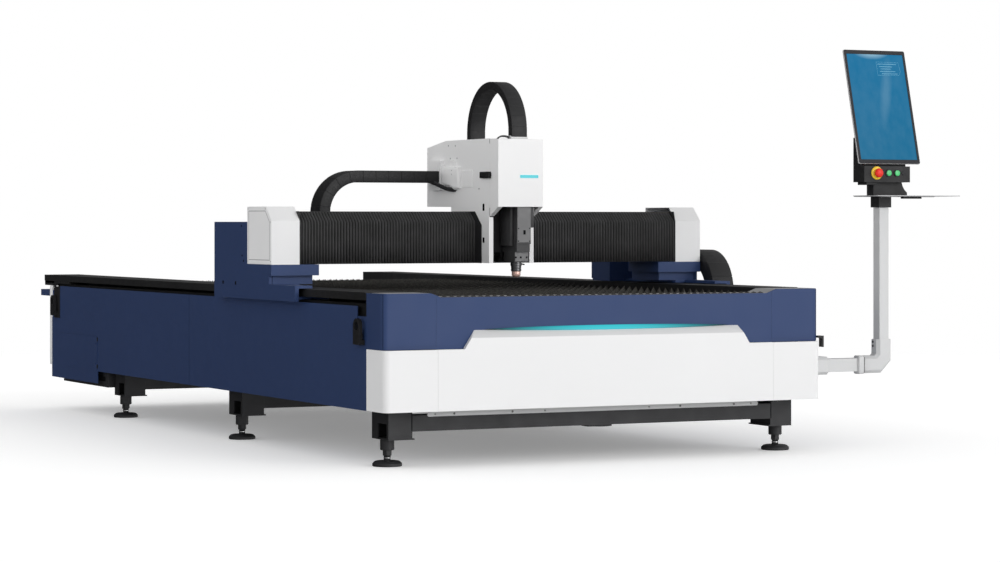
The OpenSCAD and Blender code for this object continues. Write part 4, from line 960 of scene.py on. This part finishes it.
# Moving cover and cutting head

HEAD_X, HEAD_Y = 50.0, 797.0


def arch_clamp():
    """Clamp that holds the arched chain on the moving cover: a shoe with two ears."""
    shoe = eased_block((-24, 702.5, 1426), (64, 742, 1437), 2, 3)
    ears = [eased_block((x, 708, 1434), (x + 5, 736, 1444), 1.2) for x in (-24, 59)]
    return merged(shoe, *ears)


def arch_hose():
    """Two thin hoses from the foot of the arch into the cover's top, bent over in one smooth line."""
    ends = [(-22, 722, 1436), (-48, 718, 1446), (-80, 716, 1444), (-88, 716, 1426)]
    line = bent_line(ends, 16)
    return merged(round_line(line, 3.8), round_line(line + (0, 9, -2), 3.4))


def head_plates():
    """Front plates of the cutting head: the tall one over the body and the short one on the lower block."""
    lo = span_of("laser_head")[0]
    tall = stepped(soft_rect((15, 946), (85, 1176), 3), [(0, -0.5), (0, 1.6), (1.2, 2.6)])
    low = stepped(soft_rect((15, 858), (85, 902), 3), [(0, -0.5), (0, 1.2), (1.2, 2.2)])
    return merged(moved(facing(tall, "-y"), (0, lo[1], 0)), moved(facing(low, "-y"), (0, HEAD_Y - 56, 0)))


def head_fittings():
    """Dark fittings on the head: slot, screws and side lever; the slot is a black plate, painted shade of an
    opening.
    """
    lo = span_of("laser_head")[0]
    slot = facing(stepped(soft_rect((46, 984), (58, 1004), 2), [(0, 1), (0, 3.2)]), "-y")
    dots = screws([(x, HEAD_Y - 58, 877) for x in (19, 45, 76)], "-y", 4.5, 3)
    corner = screws([(x, lo[1] - 2.4, z) for x in (21, 79) for z in (953, 1012)], "-y", 3, 2)
    lever = round_line(bent_line([(64, HEAD_Y, 846), (80, HEAD_Y - 2, 846), (92, HEAD_Y - 4, 842)], 8), 3.0)
    return merged(moved(slot, (0, lo[1], 0)), dots, corner, lever)


def head_flank():
    """Dark blocks on the head's flanks: the cable duct on the right and a shallow housing on the left."""
    duct = eased_block((86, 722, 1016), (106, 788, 1140), 2)
    housing = eased_block((-2, 752, 930), (14.5, 862, 1108), 2)
    return merged(duct, housing)


def lathe_at_head(profile):
    """Lathe work about the beam's own line."""
    return moved(turned(profile, 32), (HEAD_X, HEAD_Y, 0))


HOLDER = [(17, 810), (20, 810), (23.2, 812), (24.4, 814), (24.4, 823), (22.8, 824.5), (22.8, 826),
          (24.4, 827.5), (24.4, 837), (27, 838.5), (27, 849), (25, 850.5), (25, 856)]
NOZZLE = [(2, 792), (2, 784), (10, 784), (13, 785), (20, 791), (21, 793), (21, 801), (19.8, 802), (19.8, 804),
          (21.4, 805), (21.4, 809.8), (16, 809.8)]
piece("arch_clamp", arch_clamp(), GREY_ENAMEL, "z_head")
piece("arch_hose", arch_hose(), CABLE_SHEATH, "z_head", smooth=60)
piece("head_front_plates", head_plates(), HEAD_GREY, "z_head")
piece("head_flank", head_flank(), HEAD_DARK, "z_head")
piece("head_fittings", head_fittings(), BLACK_AND_SHADE, "z_head")
piece("ringed_holder", lathe_at_head(HOLDER), BURNT_NICKEL, "z_head", ["nozzle_holder"], smooth=30)
piece("copper_nozzle", lathe_at_head(NOZZLE), TURNED_COPPER, "z_head", ["nozzle"], smooth=30)

# Operator panel

MON_AT, MON_TILT = np.array([1303.0, -200.0, 1310.0]), math.radians(14)
MON_W, MON_L, MON_T = 338.0, 545.0, 36.0


def on_monitor(shape):
    """Monitor's own axes (across, towards the eye as -y, up), leaned back on its lower front edge."""
    x, y, z = shape[0].T
    c, s = math.cos(MON_TILT), math.sin(MON_TILT)
    return np.stack([x, y * c + z * s, z * c - y * s], -1) + MON_AT, shape[1]


def monitor_case():
    """Metal case: a thin round-cornered panel and a smaller housing, rings from the back to the bezel."""
    back = [(60, -MON_T), (52, -MON_T + 2), (46, -MON_T + 7), (44, -12), (3, -11.5), (0.8, -10.6), (0, -8.6)]
    steps = back + [(0, -3.4), (1, -2.2)]
    rings = [np.insert(soft_rect((d, d), (MON_W - d, MON_L - d), 8), 2, h, axis=1) for d, h in steps]
    return on_monitor(facing(carried(np.stack(rings)), "-y"))


def monitor_bezel():
    """Front frame: loops round the screen from the outer edge over the rounded front to the inner edge."""
    outer = soft_rect((1, 1), (MON_W - 1, MON_L - 1), 7.5)
    inner = soft_rect((14, 20), (MON_W - 14, MON_L - 20), 1.5)
    loops = [(outer, 0.0, 3.0), (outer, 0.0, 0.9), (outer, 0.9, 0.0)]
    loops += [(inner, -0.8, 0.0), (inner, 0.0, 0.8), (inner, 0.0, 3.0)]
    rings = np.stack([np.insert(inset(o, [d])[0], 1, y, axis=1) for o, d, y in loops])
    return on_monitor(hoop(rings))


def screen_glass():
    """Screen: a flat plate just behind the bezel."""
    outline = soft_rect((13.5, 19.5), (MON_W - 13.5, MON_L - 19.5), 1.5)
    return on_monitor(facing(stepped(outline, [(0, -4), (0, -2.2), (0.6, -1.8)]), "-y"))


def screen_marks():
    """Idle page: a folded card outline at the upper right and short bars in it, hardly raised."""
    bars = [((178, 478), (282, 480.4)), ((186, 466), (258, 468.4)), ((192, 455), (250, 457)),
            ((186, 443), (274, 445.2)), ((196, 432), (284, 434))]
    shapes = [stepped(soft_rect(a, b, 0.9, 1), [(0, 1.2), (0, 1.62)]) for a, b in bars]
    card = np.array([(172, 424), (292, 426), (302, 446), (296, 488), (172, 490)], float)
    loops = [(0.0, 1.2), (0.0, 1.6), (1.4, 1.6), (1.4, 1.2)]
    return on_monitor(moved(facing(merged(flat_loop(card, loops), *shapes), "-y"), (0, 3.4, 0)))


def own_map(ob, size):
    """Gives a screen its own map: place across and up the monitor over its size, for every face corner."""
    mesh = ob.data
    co = np.empty(len(mesh.vertices) * 3)
    mesh.vertices.foreach_get("co", co)
    local = co.reshape(-1, 3) * 1000 + BED_TO_ROW - MON_AT
    uv = np.stack([local[:, 0] / size[0], local[:, 2] / math.cos(MON_TILT) / size[1]], -1)
    corner = np.empty(len(mesh.loops), int)
    mesh.loops.foreach_get("vertex_index", corner)
    mesh.uv_layers.new(name="screen").data.foreach_set("uv", uv[corner].ravel())


KEY_Z, BOX_Y = 1267.0, -200.0
STOP_X, LEFT_X, RIGHT_X, PORT_X = 1398.0, 1463.0, 1509.0, 1545.0


def on_box(shape, x):
    """A shape made along +z, facing the operator with its nought on the control box's front."""
    return moved(facing(shape, "-y"), (x, BOX_Y, KEY_Z))


def mushroom():
    """Stop button: lathe work with a shaft, an undercut and a domed cap."""
    cap = [(10, -14), (10, 13), (17, 13.2), (20.2, 14.2), (21, 16.5), (21, 21), (19.8, 24.6), (16, 27.6),
           (10, 29.4), (4, 30)]
    return on_box(turned(cap, 40), STOP_X)


def key_cap(x):
    """Push button: lathe work with a straight wall, an eased shoulder and a shallow dome."""
    return on_box(turned([(13, -12), (13, 6.6), (12.4, 7.8), (9, 8.6), (4, 9)], 28), x)


def key_rims():
    """Black bezels of the buttons and the data port with its cap."""
    rim = turned_ring([(13.5, -1), (17, -1), (17, 3.4), (15.8, 4.6), (14.2, 4.6), (13.5, 3.8)], 32)
    port = turned([(9, -1), (9, 2.6), (8, 3.4), (6, 3.4), (5.6, 2.2)], 24)
    return merged(on_box(rim, LEFT_X), on_box(rim, RIGHT_X), on_box(port, PORT_X))


def panel_trim():
    """Step under the box beside the neck and the short rail under the shelf."""
    step = eased_block((1348, -192, 1212.5), (1404.5, -118, 1225.5), 1.5)
    strip = eased_block((1592, -134, 1150.2), (1694, -110, 1160.5), 1.2)
    return merged(step, strip)


def keyboard_tray():
    """Keyboard shelf: a thin round-cornered plate with a folded rear edge."""
    lo, hi = span_of("keyboard_shelf")
    plate = stepped(soft_rect(lo[:2], hi[:2], 10), [(0.5, 1160.4), (0, 1160.8), (0, 1163.5), (0.5, 1164)])
    fold = eased_block((lo[0] + 10, hi[1] - 4, 1158), (hi[0] - 10, hi[1], 1162), 0.8)
    return merged(plate, fold)


stop_ring = turned_ring([(10.8, -0.5), (30, -0.5), (30, 2.2), (28, 4.6), (23, 6), (12, 6), (10.8, 5)], 40)
piece("monitor_case", monitor_case(), SILVER_RIM, "pendant", ["monitor_frame"])
piece("monitor_bezel", monitor_bezel(), BEZEL_BLACK, "pendant")
glass = piece("screen_glass", screen_glass(), SCREEN_BLUE, "pendant", ["screen"])
own_map(glass, (MON_W, MON_L))
piece("screen_marks", screen_marks(), SCREEN_LINES, "pendant")
piece("stop_ring", on_box(stop_ring, STOP_X), STOP_YELLOW, "pendant", ["estop_ring"])
piece("stop_mushroom", mushroom(), STOP_RED, "estop", ["estop_button"])
piece("key_left", key_cap(LEFT_X), KEY_GREEN, "button_left_body", ["button_left"])
piece("key_right", key_cap(RIGHT_X), KEY_GREEN, "button_right_body", ["button_right"])
piece("key_rims", key_rims(), BEZEL_BLACK, "pendant")
piece("panel_trim", panel_trim(), BLACK_COAT, "pendant")
piece("keyboard_tray", keyboard_tray(), DULL_STEEL, "pendant", ["keyboard_shelf"])

# Stage, light and camera


def stage_floor():
    """Pale floor: a flat square grid. To the eye it is lifted towards white and its far part is plain white;
    occlusion by the machine lowers the lift under it, a painted shadow."""
    n, half = 9, 40
    g = np.linspace(-half, half, n)
    x, y = np.meshgrid(g, g, indexing="ij")
    v = np.stack([x, y, 0 * x - 0.0005], -1).reshape(-1, 3)
    mesh = bpy.data.meshes.new("floor")
    mesh.from_pydata(v.tolist(), [], sheet_quads(n, n).tolist())
    m = bpy.data.materials.new("pale_floor")
    m.use_nodes = True
    m.node_tree.nodes.clear()
    at = Nodes(m.node_tree)
    seen = at.add("LightPath").outputs["Is Camera Ray"]
    # Painted shadow: the lift falls where occlusion finds the machine overhead.
    open_sky = at.add("AmbientOcclusion", Distance=1.5)
    open_sky.samples = 8
    lift = at.span(open_sky.outputs["AO"], 0.0, 1.0, FLOOR_LIFT_UNDER, FLOOR_LIFT)
    matt = at.add("BsdfDiffuse", Color=(0.85, 0.85, 0.85))
    glow = at.add("Emission", Strength=at.math("MULTIPLY", lift, seen))
    near = at.add("AddShader")
    at.set(near.inputs[0], matt.outputs[0])
    at.set(near.inputs[1], glow.outputs[0])
    away = at.vector("LENGTH", at.add("TexCoord").outputs["Object"])
    far = at.math("MULTIPLY", at.span(away, FLOOR_NEAR, FLOOR_FAR, 0, 1), seen)
    at.add("OutputMaterial", Surface=at.choose(far, near.outputs[0], at.add("Emission").outputs[0]))
    mesh.materials.append(m)
    ob = bpy.data.objects.new("floor", mesh)
    ob.visible_glossy = False
    bpy.context.scene.collection.objects.link(ob)


def studio():
    """White surroundings to the eye, a softly shaded room otherwise, and one broad low key from the right.

    Diffuse light falls from the horizon to the zenith. Gloss sees a bright and a dim side of the room."""
    world = bpy.data.worlds.new("studio")
    bpy.context.scene.world = world
    world.use_nodes = True
    world.node_tree.nodes.clear()
    at = Nodes(world.node_tree)
    way = at.add("TexCoord").outputs["Generated"]
    up = at.add("SeparateXYZ", Vector=way).outputs["Z"]
    ahead = at.vector("DOT_PRODUCT", way, (math.sin(VIEW_TURN), -math.cos(VIEW_TURN), 0))
    path = at.add("LightPath").outputs
    dimmed = at.span(ahead, -0.9, 0.7, SHINE_DIM, 1.0)
    strengths = (at.span(up, 0.0, 1.0, SKY_LOW, SKY_HIGH), dimmed, 1.0)
    lights = [at.add("Background", Color=(1, 1, 1), Strength=strength) for strength in strengths]
    soft, shine, white = [light.outputs[0] for light in lights]
    clear = at.math("MAXIMUM", path["Is Camera Ray"], path["Is Transmission Ray"])
    room = at.choose(path["Is Glossy Ray"], soft, shine)
    at.add("OutputWorld", Surface=at.choose(clear, room, white))
    key = bpy.data.lights.new("key", "SUN")
    key.energy, key.angle = KEY_ENERGY, math.radians(KEY_SPREAD)
    lamp = bpy.data.objects.new("key", key)
    lamp.rotation_euler = (math.radians(90 - KEY_RISE), 0, math.radians(KEY_TURN))
    bpy.context.scene.collection.objects.link(lamp)


def photo_camera():
    """Camera at the height of the operator's chest, front left, looking level."""
    cam = bpy.data.cameras.new("camera")
    cam.sensor_width, cam.lens, cam.shift_y = SENSOR, LENS, LENS_SHIFT
    cam.clip_end = 200
    ob = bpy.data.objects.new("camera", cam)
    ob.location = EYE
    ob.rotation_euler = (math.radians(90), 0, -VIEW_TURN)
    bpy.context.scene.collection.objects.link(ob)
    bpy.context.scene.camera = ob


EYE, VIEW_TURN = (-6.3165, -13.136, 1.05), math.radians(26.707)
SENSOR, LENS, LENS_SHIFT = 36, 101.92, -0.0607
SKY_LOW, SKY_HIGH, SHINE_DIM = 1.56, 0.05, 0.03
KEY_ENERGY, KEY_RISE, KEY_TURN, KEY_SPREAD = 1.36, 8, 24, 40
FLOOR_LIFT, FLOOR_LIFT_UNDER, FLOOR_NEAR, FLOOR_FAR = 0.53, 0.22, 4.6, 8.5
stage_floor()
studio()
photo_camera()
bpy.context.scene.view_settings.view_transform = "Standard"
